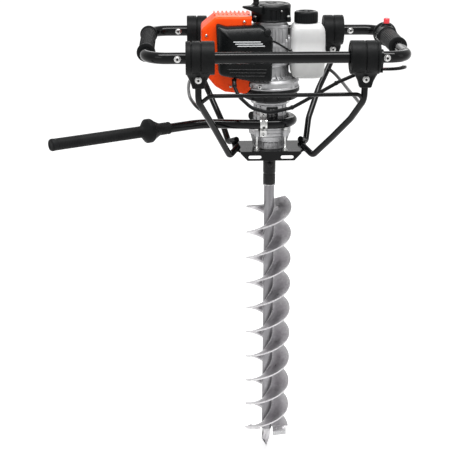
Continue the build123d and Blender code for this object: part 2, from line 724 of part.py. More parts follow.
with BuildPart() as crankcase:
    with BuildSketch(Plane.XY.offset(222)):
        RectangleRounded(85, 84, 16)
    extrude(amount=100)
    with BuildSketch(Plane.XY.offset(322)):
        RectangleRounded(76, 76, 22)
    extrude(amount=8)
    # pad that carries the fuel tank
    with Locations((44.9, -18, 262)):
        Box(5.8, 36, 60)
    with BuildSketch(Plane.XY.offset(238)):
        Circle(30)
    extrude(amount=66, mode=Mode.SUBTRACT)
    with BuildSketch(Plane.XY.offset(222)):
        Circle(16)
    extrude(amount=108, mode=Mode.SUBTRACT)
    with Locations(Pos(-36, 0, cyl_z) * Rot(0, 90, 0)):
        Cylinder(21, 20, mode=Mode.SUBTRACT)
crankcase.part.label = "crankcase"
export_step(crankcase.part, "parts/crankcase.step")

# finned cylinder, lying along -X
with BuildPart() as cylinder:
    with BuildSketch(Plane.YZ.offset(-42.6)):
        with Locations((0, cyl_z)):
            Circle(26)
    extrude(amount=-84)
    for i in range(9):
        with BuildSketch(Plane.YZ.offset(-54.0 - i * 8.6)):
            with Locations((0, cyl_z)):
                RectangleRounded(84, 84, 12)
        extrude(amount=-2.6)
    with BuildSketch(Plane.YZ.offset(-42.5)):
        with Locations((0, cyl_z)):
            Circle(20.0)
    extrude(amount=-74, mode=Mode.SUBTRACT)
    with Locations(Pos(-122, 0, cyl_z) * Rot(0, 90, 0)):
        Cylinder(7, 20, mode=Mode.SUBTRACT)
cylinder.part.label = "cylinder"
export_step(cylinder.part, "parts/cylinder.step")

with BuildPart() as piston:
    with BuildSketch(Plane.YZ.offset(-74)):
        with Locations((0, cyl_z)):
            Circle(19.93)
    extrude(amount=-36)
    with BuildSketch(Plane.YZ.offset(-73)):
        with Locations((0, cyl_z)):
            Circle(16)
    extrude(amount=-30, mode=Mode.SUBTRACT)
piston.part.label = "piston"
export_step(piston.part, "parts/piston.step")

with BuildPart() as spark_plug:
    with BuildSketch(Plane.YZ.offset(-126.8)):
        with Locations((0, cyl_z)):
            RegularPolygon(9.5, 6)
    extrude(amount=-9)
    with BuildSketch(Plane.YZ.offset(-135.8)):
        with Locations((0, cyl_z)):
            Circle(5)
    extrude(amount=-24)
    with BuildSketch(Plane.YZ.offset(-116.2)):
        with Locations((0, cyl_z)):
            Circle(6.95)
    extrude(amount=-10.6)
spark_plug.part.label = "spark_plug"
export_step(spark_plug.part, "parts/spark_plug.step")

with BuildPart() as crankshaft:
    with BuildSketch(Plane.XZ):
        with BuildLine():
            Polyline((0, 112), (6, 112), (6, 160), (8, 163), (8, 244), (27, 244), (27, 262), (8, 262), (8, 280),
                     (27, 280), (27, 298), (8, 298), (8, 333), (5, 333), (5, 352), (0, 352), close=True)
        make_face()
    revolve(axis=Axis.Z)
crankshaft.part.label = "crankshaft"
export_step(crankshaft.part, "parts/crankshaft.step")

with BuildPart() as flywheel:
    with BuildSketch(Plane.XY.offset(165)):
        Circle(62)
        Circle(8, mode=Mode.SUBTRACT)
    extrude(amount=6)
    with BuildSketch(Plane.XY.offset(171)):
        with PolarLocations(49, 14):
            Rectangle(24, 2.4)
    extrude(amount=9)
flywheel.part.label = "flywheel"
export_step(flywheel.part, "parts/flywheel.step")

# centrifugal clutch: hub and two shoes inside the drum
with BuildPart() as clutch_shoes:
    with BuildSketch(Plane.XY.offset(90)):
        Circle(28)
        Rectangle(60, 3, mode=Mode.SUBTRACT)
        Circle(14, mode=Mode.SUBTRACT)
    extrude(amount=16)
    with BuildSketch(Plane.XY.offset(90)):
        Circle(14)
    extrude(amount=16)
    with BuildSketch(Plane.XY.offset(106)):
        Circle(8)
        Circle(6, mode=Mode.SUBTRACT)
    extrude(amount=6)
clutch_shoes.part.label = "clutch_shoes"
export_step(clutch_shoes.part, "parts/clutch_shoes.step")

# ------------------------------------------------------------------ plastic shrouds over the cylinder
upper_pts = [(-48, 346), (-140, 346), (-176, 316), (-176, 246), (-48, 246)]
upper_in = [(-40, 342), (-138, 342), (-172, 314), (-172, 240), (-40, 240)]
with BuildPart() as engine_shroud:
    with BuildSketch(Plane.XZ.offset(58)):
        with BuildLine():
            Polyline(*upper_pts, close=True)
        make_face()
    extrude(amount=-116)
    with BuildSketch(Plane.XZ.offset(54)):
        with BuildLine():
            Polyline(*upper_in, close=True)
        make_face()
    extrude(amount=-108, mode=Mode.SUBTRACT)
    with BuildSketch(Plane.XY.offset(300)):
        Circle(starter_r + 1)
    extrude(amount=60, mode=Mode.SUBTRACT)
engine_shroud.part.label = "engine_shroud"
export_step(engine_shroud.part, "parts/engine_shroud.step")

lower_pts = [(-48, 245), (-176, 245), (-176, 226), (-162, 196), (-142, 172), (-118, 158), (-48, 150)]
lower_in = [(-40, 249), (-172, 249), (-172, 227), (-158.5, 198), (-139.5, 175.5), (-116.5, 162), (-40, 154)]
with BuildPart() as lower_shroud:
    with BuildSketch(Plane.XZ.offset(58)):
        with BuildLine():
            Polyline(*lower_pts, close=True)
        make_face()
    extrude(amount=-116)
    with BuildSketch(Plane.XZ.offset(54)):
        with BuildLine():
            Polyline(*lower_in, close=True)
        make_face()
    extrude(amount=-108, mode=Mode.SUBTRACT)
    with BuildSketch(Plane.XY.offset(140)):
        Circle(76)
    extrude(amount=120, mode=Mode.SUBTRACT)
lower_shroud.part.label = "lower_shroud"
export_step(lower_shroud.part, "parts/lower_shroud.step")

# front cover over the air filter and carburettor
cover_pts = [(-134, 332), (-112, 325), (-26, 328), (0, 296), (-2, 188), (-54, 190), (-129, 206)]
cover_in = [(-130, 327), (-112, 321), (-28, 324), (-4, 294), (-6, 192), (-54, 194), (-125, 209)]
with BuildPart() as filter_cover:
    with BuildSketch(Plane.XZ.offset(96)):
        with BuildLine():
            Polyline(*cover_pts, close=True)
        make_face()
    extrude(amount=-37.5)
    with BuildSketch(Plane.XZ.offset(92)):
        with BuildLine():
            Polyline(*cover_in, close=True)
        make_face()
    extrude(amount=-34, mode=Mode.SUBTRACT)
    with BuildSketch(Plane.XY.offset(140)):
        Circle(76)
    extrude(amount=84, mode=Mode.SUBTRACT)
filter_cover.part.label = "filter_cover"
export_step(filter_cover.part, "parts/filter_cover.step")

with BuildPart() as carburettor:
    with Locations((-70, -75, 262)):
        Box(44, 24, 38)
    with Locations((-70, -60.6, 262)):
        Box(30, 4.9, 30)
    with Locations(Pos(-70, -75, 262)):
        Cylinder(3.06, 60, mode=Mode.SUBTRACT)
carburettor.part.label = "carburettor"
export_step(carburettor.part, "parts/carburettor.step")

with BuildPart() as throttle_shaft:
    with BuildSketch(Plane.XY.offset(240)):
        with Locations((-70, -75)):
            Circle(3)
    extrude(amount=44)
    with BuildSketch(Plane.XY.offset(282)):
        with Locations((-64.5, -75)):
            SlotOverall(18, 7)
    extrude(amount=2.5)
throttle_shaft.part.label = "throttle_shaft"
export_step(throttle_shaft.part, "parts/throttle_shaft.step")

with BuildPart() as muffler:
    with BuildSketch(Plane.XZ.offset(-58.5)):
        with Locations((-84, 262)):
            RectangleRounded(104, 96, 12)
    extrude(amount=-38)
    fillet(muffler.faces().sort_by(Axis.Y)[-1].edges(), radius=7)
    # a hollow box of 1.8 mm sheet
    with BuildSketch(Plane.XZ.offset(-60.3)):
        with Locations((-84, 262)):
            RectangleRounded(100.4, 92.4, 10.2)
    extrude(amount=-28, mode=Mode.SUBTRACT)
    with Locations(Pos(-58, 96, 234) * Rot(90, 0, 0)):
        Cylinder(7, 16)
        Cylinder(5.5, 16, mode=Mode.SUBTRACT)
muffler.part.label = "muffler"
export_step(muffler.part, "parts/muffler.step")

# ------------------------------------------------------------------ fuel tank
tank_x, tank_y = 91.0, -20.0
with BuildPart() as tank_inside:
    with BuildSketch(Plane.XY.offset(193)):
        with Locations((tank_x, tank_y)):
            RectangleRounded(80, 86, 17)
    extrude(amount=130)
    fillet(tank_inside.faces().sort_by(Axis.Z)[-1].edges(), radius=13)
    fillet(tank_inside.faces().sort_by(Axis.Z)[0].edges(), radius=13)
with BuildPart() as fuel_tank:
    with BuildSketch(Plane.XY.offset(190)):
        with Locations((tank_x, tank_y)):
            RectangleRounded(86, 92, 20)
    extrude(amount=136)
    fillet(fuel_tank.faces().sort_by(Axis.Z)[-1].edges(), radius=16)
    fillet(fuel_tank.faces().sort_by(Axis.Z)[0].edges(), radius=16)
    with BuildSketch(Plane.XY.offset(310)):
        with Locations((tank_x - 4, tank_y)):
            Circle(23)
    extrude(amount=30)
    add(tank_inside.part, mode=Mode.SUBTRACT)
    with BuildSketch(Plane.XY.offset(300)):
        with Locations((tank_x - 4, tank_y)):
            Circle(20)
    extrude(amount=60, mode=Mode.SUBTRACT)
fuel_tank.part.label = "fuel_tank"
export_step(fuel_tank.part, "parts/fuel_tank.step")

with BuildPart() as fuel_cap:
    with BuildSketch(Plane.XY.offset(327.5)):
        with Locations((tank_x - 4, tank_y)):
            Circle(30)
            Circle(23.3, mode=Mode.SUBTRACT)
    extrude(amount=28)
    with BuildSketch(Plane.XY.offset(341)):
        with Locations((tank_x - 4, tank_y)):
            Circle(30)
    extrude(amount=14.5)
    fillet(fuel_cap.edges().group_by(Axis.Z)[-1], radius=3)
fuel_cap.part.label = "fuel_cap"
export_step(fuel_cap.part, "parts/fuel_cap.step")

with BuildPart() as fuel_line:
    with BuildLine() as path:
        FilletPolyline((0.5, -84, 290), (14, -82, 283), (30, -72, 272), (44, -62, 262), (49, -50, 258), radius=[16, 24, 14])
    with BuildSketch(Plane(origin=path.line @ 0, z_dir=path.line % 0)):
        Circle(2.5)
    sweep(path=path.line)
    add(fuel_tank.part, mode=Mode.SUBTRACT)
    add(filter_cover.part, mode=Mode.SUBTRACT)
fuel_line.part.label = "fuel_line"
export_step(fuel_line.part, "parts/fuel_line.step")

# ------------------------------------------------------------------ recoil starter
with BuildPart() as starter_housing:
    with BuildSketch(Plane.XZ):
        with BuildLine():
            Polyline((starter_r - 3, starter_z0), (starter_r, starter_z0), (starter_r, 366), (44, starter_z1), (0, starter_z1),
                     (0, 369), (starter_r - 3, 369), close=True)
        make_face()
    revolve(axis=Axis.Z)
    # rope guide: a beak on the left front with a bore for the rope
    with BuildSketch(Plane.XY.offset(352)):
        with BuildLine():
            Polyline((-32, -58), (-74, -36), (-74, -28), (-40, -8), (-20, -40), close=True)
        make_face()
    extrude(amount=18)
    with BuildSketch(Plane.XY.offset(starter_z0)):
        Circle(starter_r - 3)
    extrude(amount=39, mode=Mode.SUBTRACT)
    with BuildSketch(Plane.XY.offset(356)):
        with Locations((handle_x, handle_y)):
            Circle(5)
    extrude(amount=30, mode=Mode.SUBTRACT)
starter_housing.part.label = "starter_housing"
export_step(starter_housing.part, "parts/starter_housing.step")

with BuildPart() as starter_pulley:
    with BuildSketch(Plane.XZ):
        with BuildLine():
            Polyline((5.06, 340), (34, 340), (34, 343), (28, 346), (28, 352), (34, 355), (34, 358), (12, 358), (12, 366), (5.06, 366), close=True)
        make_face()
    revolve(axis=Axis.Z)
starter_pulley.part.label = "starter_pulley"
export_step(starter_pulley.part, "parts/starter_pulley.step")

with BuildPart() as starter_handle:
    with BuildSketch(Plane.XY.offset(373.6)):
        with Locations((handle_x, handle_y)):
            Circle(8)
    extrude(amount=14)
    with BuildSketch(Plane.XZ.offset(-handle_y - 9)):
        with Locations((handle_x, 396)):
            SlotOverall(74, 20)
    extrude(amount=18)
starter_handle.part.label = "starter_handle"
export_step(starter_handle.part, "parts/starter_handle.step")
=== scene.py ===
import bpy
import bmesh
import json
import math
import random
from mathutils import Matrix, Vector, noise


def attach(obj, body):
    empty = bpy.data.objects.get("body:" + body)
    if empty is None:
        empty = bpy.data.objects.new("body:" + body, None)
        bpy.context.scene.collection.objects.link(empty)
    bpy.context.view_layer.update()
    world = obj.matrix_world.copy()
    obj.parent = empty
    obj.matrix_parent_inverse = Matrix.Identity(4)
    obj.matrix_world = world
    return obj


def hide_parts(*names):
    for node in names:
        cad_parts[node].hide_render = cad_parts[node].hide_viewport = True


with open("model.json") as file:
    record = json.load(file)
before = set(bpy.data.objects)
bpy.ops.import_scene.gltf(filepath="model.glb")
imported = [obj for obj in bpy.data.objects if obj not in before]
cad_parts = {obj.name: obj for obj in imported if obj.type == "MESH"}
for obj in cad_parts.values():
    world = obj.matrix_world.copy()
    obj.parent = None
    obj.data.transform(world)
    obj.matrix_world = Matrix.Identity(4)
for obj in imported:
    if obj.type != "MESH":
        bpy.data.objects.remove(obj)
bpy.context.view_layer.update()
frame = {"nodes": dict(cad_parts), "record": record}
random.seed(7)
MM = 0.001
scene = bpy.context.scene
scene.view_settings.view_transform = "Standard"

# ------------------------------------------------------------------ camera
yaw, pitch = math.radians(2.07), math.radians(17.69)
cam_data = bpy.data.cameras.new("camera")
cam_data.sensor_width = 36.0
cam_data.lens = 1227.253 / 452 * 36.0
cam_data.clip_start, cam_data.clip_end = 0.05, 200.0
cam = bpy.data.objects.new("camera", cam_data)
cam.location = (-0.225287, -3.100097, 0.775585)
look = Vector((math.sin(yaw) * math.cos(pitch), math.cos(yaw) * math.cos(pitch), -math.sin(pitch)))
cam.rotation_mode = "QUATERNION"
cam.rotation_quaternion = look.to_track_quat("-Z", "Y")
scene.collection.objects.link(cam)
scene.camera = cam


# ------------------------------------------------------------------ material helpers
def lin(r, g, b):
    def f(c):
        c /= 255.0
        return c / 12.92 if c <= 0.04045 else ((c + 0.055) / 1.055) ** 2.4
    return (f(r), f(g), f(b), 1.0)


class Mat:
    """A Principled material with object-space noise behind its colour, roughness and bump."""

    def __init__(self, name, color, rough, metallic=0.0, spec=0.5, coat=0.0, coat_rough=0.1, **sockets):
        self.m = bpy.data.materials.new(name)
        self.m.use_nodes = True
        self.nt = self.m.node_tree
        self.b = self.nt.nodes["Principled BSDF"]
        self.b.inputs["Base Color"].default_value = color
        self.b.inputs["Roughness"].default_value = rough
        self.b.inputs["Metallic"].default_value = metallic
        self.b.inputs["Specular IOR Level"].default_value = spec
        self.b.inputs["Coat Weight"].default_value = coat
        self.b.inputs["Coat Roughness"].default_value = coat_rough
        for k, v in sockets.items():
            self.b.inputs[k.replace("_", " ")].default_value = v
        self.m.diffuse_color = color
        self.color = color
        self.tc = self.nt.nodes.new("ShaderNodeTexCoord")
        self.height = None

    def node(self, kind, **values):
        n = self.nt.nodes.new(kind)
        for k, v in values.items():
            if k in n.inputs:
                n.inputs[k].default_value = v
            else:
                setattr(n, k, v)
        return n

    def link(self, a, b):
        self.nt.links.new(a, b)

    def coords(self, stretch=(1, 1, 1)):
        if stretch == (1, 1, 1):
            return self.tc.outputs["Object"]
        mp = self.node("ShaderNodeMapping")
        mp.inputs["Scale"].default_value = stretch
        self.link(self.tc.outputs["Object"], mp.inputs["Vector"])
        return mp.outputs["Vector"]

    def noise(self, scale, detail=4.0, rough=0.55, stretch=(1, 1, 1), distortion=0.0):
        n = self.node("ShaderNodeTexNoise")
        n.inputs["Scale"].default_value = scale
        n.inputs["Detail"].default_value = detail
        n.inputs["Roughness"].default_value = rough
        n.inputs["Distortion"].default_value = distortion
        self.link(self.coords(stretch), n.inputs["Vector"])
        return n.outputs["Fac"]

    def voronoi(self, scale, feature="F1", out="Distance", stretch=(1, 1, 1)):
        n = self.node("ShaderNodeTexVoronoi", feature=feature)
        n.inputs["Scale"].default_value = scale
        self.link(self.coords(stretch), n.inputs["Vector"])
        return n.outputs[out]

    def span(self, fac, lo, hi, a=0.0, b=1.0):
        n = self.node("ShaderNodeMapRange")
        n.inputs["From Min"].default_value = a
        n.inputs["From Max"].default_value = b
        n.inputs["To Min"].default_value = lo
        n.inputs["To Max"].default_value = hi
        self.link(fac, n.inputs["Value"])
        return n.outputs["Result"]

    def mix(self, fac, c1, c2):
        n = self.node("ShaderNodeMix", data_type="RGBA")
        self.link(fac, n.inputs["Factor"])
        for c, i in ((c1, 6), (c2, 7)):
            if isinstance(c, (tuple, list)):
                n.inputs[i].default_value = c
            else:
                self.link(c, n.inputs[i])
        return n.outputs[2]

    def colour(self, out):
        self.link(out, self.b.inputs["Base Color"])
        return self

    def rough(self, fac, lo, hi, a=0.3, b=0.7):
        self.link(self.span(fac, lo, hi, a, b), self.b.inputs["Roughness"])
        return self

    def bump(self, fac, strength, dist):
        n = self.node("ShaderNodeBump")
        n.inputs["Strength"].default_value = strength
        n.inputs["Distance"].default_value = dist
        self.link(fac, n.inputs["Height"])
        if self.height is not None:
            self.link(self.height, n.inputs["Normal"])
        self.height = n.outputs["Normal"]
        self.link(self.height, self.b.inputs["Normal"])
        return self

    def edge(self, lo=0.52, hi=0.6):
        """0 on flats, 1 on worn outside edges, broken up by noise."""
        g = self.node("ShaderNodeNewGeometry")
        e = self.span(g.outputs["Pointiness"], 0.0, 1.0, lo, hi)
        k = self.span(self.noise(260, 5), 0.0, 1.0, 0.42, 0.62)
        n = self.node("ShaderNodeMath", operation="MULTIPLY")
        self.link(e, n.inputs[0])
        self.link(k, n.inputs[1])
        return n.outputs[0]


def black_paint():
    m = Mat("paint_black_gloss", (0.0018, 0.0019, 0.0022, 1), 0.12, spec=0.15)
    m.colour(m.mix(m.span(m.noise(14, 3), 0, 1, 0.35, 0.7), (0.0016, 0.0017, 0.0019, 1), (0.003, 0.0032, 0.0036, 1)))
    m.rough(m.noise(55, 5), 0.08, 0.16)
    m.bump(m.noise(520, 2, 0.4), 0.10, 0.0004)
    m.bump(m.noise(2600, 1), 0.04, 0.0001)
    return m.m


def rubber(name="rubber_black", base=0.0045, lo=0.42, hi=0.58):
    m = Mat(name, (base, base * 1.05, base * 1.09, 1), 0.6, spec=0.07)
    m.colour(m.mix(m.span(m.noise(30, 5), 0, 1, 0.3, 0.7), (base * 0.75, base * 0.8, base * 0.84, 1), (base * 1.5, base * 1.57, base * 1.62, 1)))
    m.rough(m.noise(120, 4), lo, hi)
    m.bump(m.noise(1500, 3), 0.22, 0.0002)
    return m.m


def plastic(name, c, lo=0.32, hi=0.46, grain=0.25, spec=0.45, vary=0.25, scale=1900):
    m = Mat(name, (*c, 1), 0.4, spec=spec)
    m.colour(m.mix(m.span(m.noise(18, 4), 0, 1, 0.3, 0.72), tuple(x * (1 - vary) for x in c) + (1,), tuple(min(1, x * (1 + vary)) for x in c) + (1,)))
    m.rough(m.noise(70, 5), lo, hi)
    m.bump(m.voronoi(scale), grain, 0.00012)
    return m.m


def orange_plastic():
    m = Mat("plastic_orange", lin(220, 64, 14), 0.36, spec=0.09, coat=0.0, coat_rough=0.18)
    n = m.span(m.noise(9, 4), 0, 1, 0.3, 0.7)
    c = m.mix(n, lin(192, 52, 8), lin(206, 63, 12))
    c = m.mix(m.span(m.noise(160, 6, 0.7), 0, 0.28, 0.60, 0.72), c, lin(150, 60, 34))
    m.colour(c)
    m.rough(m.noise(60, 5), 0.26, 0.42)
    m.bump(m.voronoi(1700), 0.14, 0.0001)
    return m.m


def tank_plastic():
    m = Mat("plastic_tank_white", (0.37, 0.374, 0.37, 1), 0.36, spec=0.45)
    m.b.inputs["Subsurface Weight"].default_value = 0.35
    m.b.inputs["Subsurface Radius"].default_value = (0.012, 0.012, 0.011)
    m.b.inputs["Subsurface Scale"].default_value = 1.0
    # the tank grows darker from 262 mm down to 222 mm height and stays darker below; noise makes the line waver
    sep = m.node("ShaderNodeSeparateXYZ")
    m.link(m.tc.outputs["Object"], sep.inputs[0])
    wob = m.node("ShaderNodeMath", operation="MULTIPLY_ADD")
    wob.inputs[1].default_value = 0.008
    m.link(m.noise(30, 3), wob.inputs[0])
    m.link(sep.outputs["Z"], wob.inputs[2])
    darker_below = m.span(wob.outputs[0], 1, 0, 0.222, 0.262)
    c = m.mix(darker_below, (0.37, 0.37, 0.37, 1), (0.33, 0.332, 0.327, 1))
    c = m.mix(m.span(m.noise(45, 5), 0, 0.12, 0.4, 0.75), c, (0.60, 0.60, 0.58, 1))
    m.colour(c)
    m.rough(m.noise(60, 4), 0.3, 0.46)
    m.bump(m.noise(700, 3), 0.12, 0.0003)
    return m.m


def cast(name, a, b, metallic=0.85, lo=0.38, hi=0.6, grain=0.5, dirt=0.35, spec=0.5):
    m = Mat(name, (*a, 1), 0.5, metallic=metallic, spec=spec)
    c = m.mix(m.span(m.noise(26, 6, 0.62), 0, 1, 0.32, 0.7), (*a, 1), (*b, 1))
    c = m.mix(m.span(m.noise(75, 6, 0.7), 0, dirt, 0.52, 0.74), c, (0.08, 0.08, 0.08, 1))
    m.colour(c)
    m.rough(m.noise(140, 5), lo, hi)
    m.bump(m.noise(1100, 4, 0.65), grain, 0.00035)
    m.bump(m.voronoi(420, "SMOOTH_F1"), grain * 0.3, 0.0004)
    return m.m


def zinc():
    m = Mat("steel_zinc_plated", (0.66, 0.66, 0.65, 1), 0.28, metallic=1.0)
    m.colour(m.mix(m.span(m.noise(90, 5), 0, 1, 0.35, 0.7), (0.60, 0.60, 0.595, 1), (0.42, 0.42, 0.41, 1)))
    m.rough(m.noise(300, 4), 0.2, 0.38)
    m.bump(m.noise(1800, 3), 0.12, 0.00015)
    return m.m


def galvanised(name="steel_galvanised", along=True):
    m = Mat(name, (0.5, 0.49, 0.5, 1), 0.4, metallic=0.92)
    sp = m.voronoi(150, "F1", "Color")
    bw = m.node("ShaderNodeRGBToBW")
    m.link(sp, bw.inputs[0])
    c = m.mix(m.span(bw.outputs[0], 0, 1, 0.15, 0.85), (0.37, 0.356, 0.375, 1), (0.43, 0.42, 0.434, 1))
    c = m.mix(m.span(m.noise(22, 5, 0.6, (1, 1, 0.35)), 0, 0.6, 0.48, 0.72), c, (0.25, 0.232, 0.25, 1))
    c = m.mix(m.edge(0.515, 0.56), c, (0.5, 0.5, 0.5, 1))
    m.colour(c)
    m.rough(m.noise(60, 6, 0.6, (1, 1, 0.3)), 0.26, 0.42)
    m.bump(m.noise(160, 3, 0.5, (1, 1, 0.2)), 0.14, 0.0006)
    m.bump(m.noise(1700, 2), 0.07, 0.0001)
    return m.m


def shaft_steel():
    m = Mat("steel_shaft_galvanised", (0.2, 0.196, 0.204, 1), 0.34, metallic=0.95)
    c = m.mix(m.span(m.noise(70, 4, 0.6, (1, 1, 0.06)), 0, 1, 0.32, 0.7), (0.225, 0.22, 0.23, 1), (0.13, 0.126, 0.134, 1))
    c = m.mix(m.span(m.noise(26, 5, 0.6), 0, 0.5, 0.52, 0.72), c, (0.28, 0.275, 0.285, 1))
    m.colour(c)
    m.rough(m.noise(60, 5, 0.6, (1, 1, 0.1)), 0.24, 0.4)
    m.bump(m.noise(240, 3, 0.5, (1, 1, 0.06)), 0.08, 0.0004)
    return m.m


def machined(name="steel_machined", c=(0.55, 0.55, 0.55), lo=0.22, hi=0.4):
    m = Mat(name, (*c, 1), 0.3, metallic=1.0)
    m.colour(m.mix(m.span(m.noise(40, 5), 0, 1, 0.35, 0.7), (*c, 1), tuple(x * 0.72 for x in c) + (1,)))
    m.rough(m.noise(90, 5), lo, hi)
    m.bump(m.noise(900, 3, 0.6, (1, 1, 14)), 0.12, 0.00012)
    return m.m


def black_steel():
    m = Mat("steel_black_oxide", (0.008, 0.008, 0.0085, 1), 0.3, metallic=0.25, spec=0.2)
    c = m.mix(m.span(m.noise(60, 6), 0, 1, 0.3, 0.7), (0.005, 0.005, 0.0055, 1), (0.014, 0.014, 0.0145, 1))
    c = m.mix(m.edge(0.53, 0.6), c, (0.22, 0.22, 0.22, 1))
    m.colour(c)
    m.rough(m.noise(150, 5), 0.22, 0.44)
    m.bump(m.noise(1100, 4), 0.2, 0.0002)
    return m.m


def muffler_steel():
    m = Mat("steel_muffler", (0.2, 0.18, 0.16, 1), 0.45, metallic=1.0)
    c = m.mix(m.span(m.noise(20, 5), 0, 1, 0.35, 0.68), (0.28, 0.25, 0.21, 1), (0.13, 0.12, 0.135, 1))
    c = m.mix(m.span(m.noise(60, 6, 0.7), 0, 0.75, 0.55, 0.7), c, (0.12, 0.055, 0.025, 1))
    m.colour(c)
    m.rough(m.noise(110, 5), 0.36, 0.66)
    m.bump(m.noise(700, 4), 0.25, 0.0003)
    return m.m


def flat_dark(name, v, rough=0.6):
    m = Mat(name, (v, v, v, 1), rough)
    m.colour(m.mix(m.noise(90, 4), (v * 0.7, v * 0.7, v * 0.7, 1), (v * 1.3, v * 1.3, v * 1.3, 1)))
    m.rough(m.noise(200, 4), rough * 0.85, min(1, rough * 1.15))
    m.bump(m.noise(900, 3), 0.2, 0.0002)
    return m.m


M_PAINT = black_paint()
M_RUBBER = rubber()
M_GRIP = rubber("rubber_grip", 0.0055, 0.46, 0.62)
M_BPLAST = plastic("plastic_black", (0.0036, 0.004, 0.0043), 0.26, 0.4, 0.22, 0.11)
M_BGLOSS = plastic("plastic_black_cover", (0.0028, 0.0032, 0.0034), 0.2, 0.32, 0.12, 0.13)
M_ORANGE = orange_plastic()
M_TANK = tank_plastic()
M_RED = plastic("plastic_red", (0.56, 0.03, 0.04), 0.28, 0.4, 0.12, 0.5, 0.12)
M_CAST = cast("aluminium_cast", (0.44, 0.44, 0.445), (0.31, 0.31, 0.318))
# painted shade: a darker copy of the cast aluminium
M_CAST_SHADE = cast("aluminium_cast_painted_shade", (0.17, 0.17, 0.174), (0.11, 0.11, 0.114), 0.8)
M_BCAST = cast("casting_black", (0.004, 0.004, 0.0043), (0.008, 0.008, 0.0084), 0.0, 0.3, 0.46, 0.45, 0.2, 0.13)
M_ZINC = zinc()
M_GALV = galvanised()
M_SHAFT = shaft_steel()
M_MACH = machined()
M_BSTEEL = black_steel()
M_MUFF = muffler_steel()
M_CABLE = rubber("cable_jacket_black", 0.005, 0.28, 0.42)
# painted shade: a flat near-black material stands in for the shade on the walls and floors of sockets, holes and
# recesses
M_RECESS_SHADE = flat_dark("recess_painted_shade", 0.006, 0.7)
M_MARK = plastic("badge_grey", (0.45, 0.46, 0.47), 0.35, 0.5, 0.1, 0.4, 0.08)
M_CERAMIC = plastic("ceramic_white", (0.72, 0.71, 0.68), 0.15, 0.25, 0.05, 0.5, 0.04)
M_EDGE = machined("steel_ground_edge", (0.72, 0.72, 0.73), 0.16, 0.3)

SLOT_MAT = {
    "frame_paint": M_PAINT, "damper_rubber": M_RUBBER, "black_plastic": M_BPLAST, "grip_rubber": M_GRIP,
    "cable_jacket": M_CABLE, "red_plastic": M_RED, "zinc_steel": M_ZINC, "cast_aluminium": M_CAST,
    "black_casting": M_BCAST, "orange_plastic": M_ORANGE, "tank_plastic": M_TANK, "muffler_steel": M_MUFF,
    "machined_steel": M_MACH, "black_steel": M_BSTEEL, "galvanised_steel": M_GALV,
}
node_slot = {p["node"]: p.get("material_slot") for p in frame["record"]["subparts"]}
for n, o in frame["nodes"].items():
    mat = M_BSTEEL if n == "clutch_drum" else M_SHAFT if n == "bit_shaft" else SLOT_MAT.get(node_slot.get(n), M_MACH)
    o.data.materials.clear()
    o.data.materials.append(mat)


# ------------------------------------------------------------------ mesh helpers (millimetres in, metres out)
class Geo:
    def __init__(self):
        self.v, self.f, self.m = [], [], []

    def add(self, v, f, mat=0):
        o = len(self.v)
        self.v.extend(v)
        for q in f:
            self.f.append([i + o for i in q])
            self.m.append(mat)
        return self

    def mirror(self, axis, about=0.0):
        o, n = len(self.v), len(self.f)
        for p in list(self.v):
            q = list(p)
            q[axis] = 2 * about - q[axis]
            self.v.append(tuple(q))
        for i in range(n):
            self.f.append([k + o for k in reversed(self.f[i])])
            self.m.append(self.m[i])
        return self


def make(name, g, mats, body="root", replaces=(), angle=32, bevel=0.0, solid=0.0, cuts=(), subsurf=0, weighted=False):
    me = bpy.data.meshes.new(name)
    me.from_pydata([(x * MM, y * MM, z * MM) for x, y, z in g.v], [], g.f)
    for i, p in enumerate(me.polygons):
        p.material_index = g.m[i]
    bm = bmesh.new()
    bm.from_mesh(me)
    bmesh.ops.remove_doubles(bm, verts=bm.verts, dist=1e-6)
    bmesh.ops.dissolve_degenerate(bm, edges=bm.edges, dist=1e-7)
    bmesh.ops.recalc_face_normals(bm, faces=bm.faces)
    bm.to_mesh(me)
    bm.free()
    me.shade_smooth()
    me.set_sharp_from_angle(angle=math.radians(angle))
    for mt in mats:
        me.materials.append(mt)
    ob = bpy.data.objects.new(name, me)
    scene.collection.objects.link(ob)
    if solid:
        s = ob.modifiers.new("solid", "SOLIDIFY")
        s.thickness = solid * MM
        s.offset = -1
        s.use_even_offset = True
    for c in cuts:
        b = ob.modifiers.new("cut", "BOOLEAN")
        b.operation = "DIFFERENCE"
        b.solver = "EXACT"
        b.object = c
    if cuts:
        dg = bpy.context.evaluated_depsgraph_get()
        cut = bpy.data.meshes.new_from_object(ob.evaluated_get(dg))
        ob.modifiers.clear()
        ob.data = cut
        cut.name = name
        cut.shade_smooth()
        cut.set_sharp_from_angle(angle=math.radians(angle))
        for c in cuts:
            bpy.data.objects.remove(c)
    if bevel:
        b = ob.modifiers.new("bevel", "BEVEL")
        b.width = bevel * MM
        b.segments = 2
        b.limit_method = "ANGLE"
        b.angle_limit = math.radians(angle)
        b.harden_normals = True
    if subsurf:
        s = ob.modifiers.new("sub", "SUBSURF")
        s.levels = s.render_levels = subsurf
    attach(ob, body)
    if replaces:
        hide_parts(*replaces)
    return ob


def cutter(g):
    """A temporary object that a Boolean takes away."""
    me = bpy.data.meshes.new("cutter")
    me.from_pydata([(x * MM, y * MM, z * MM) for x, y, z in g.v], [], g.f)
    bm = bmesh.new()
    bm.from_mesh(me)
    bmesh.ops.recalc_face_normals(bm, faces=bm.faces)
    bm.to_mesh(me)
    bm.free()
    # the cutter carries the painted-shade recess material
    me.materials.append(M_RECESS_SHADE)
    ob = bpy.data.objects.new("cutter", me)
    scene.collection.objects.link(ob)
    return ob


def basis(axis, up=None):
    z = Vector(axis).normalized()
    u = Vector(up) if up else (Vector((0, 0, 1)) if abs(z.z) < 0.9 else Vector((1, 0, 0)))
    x = (u - z * u.dot(z)).normalized()
    y = z.cross(x)
    return x, y, z


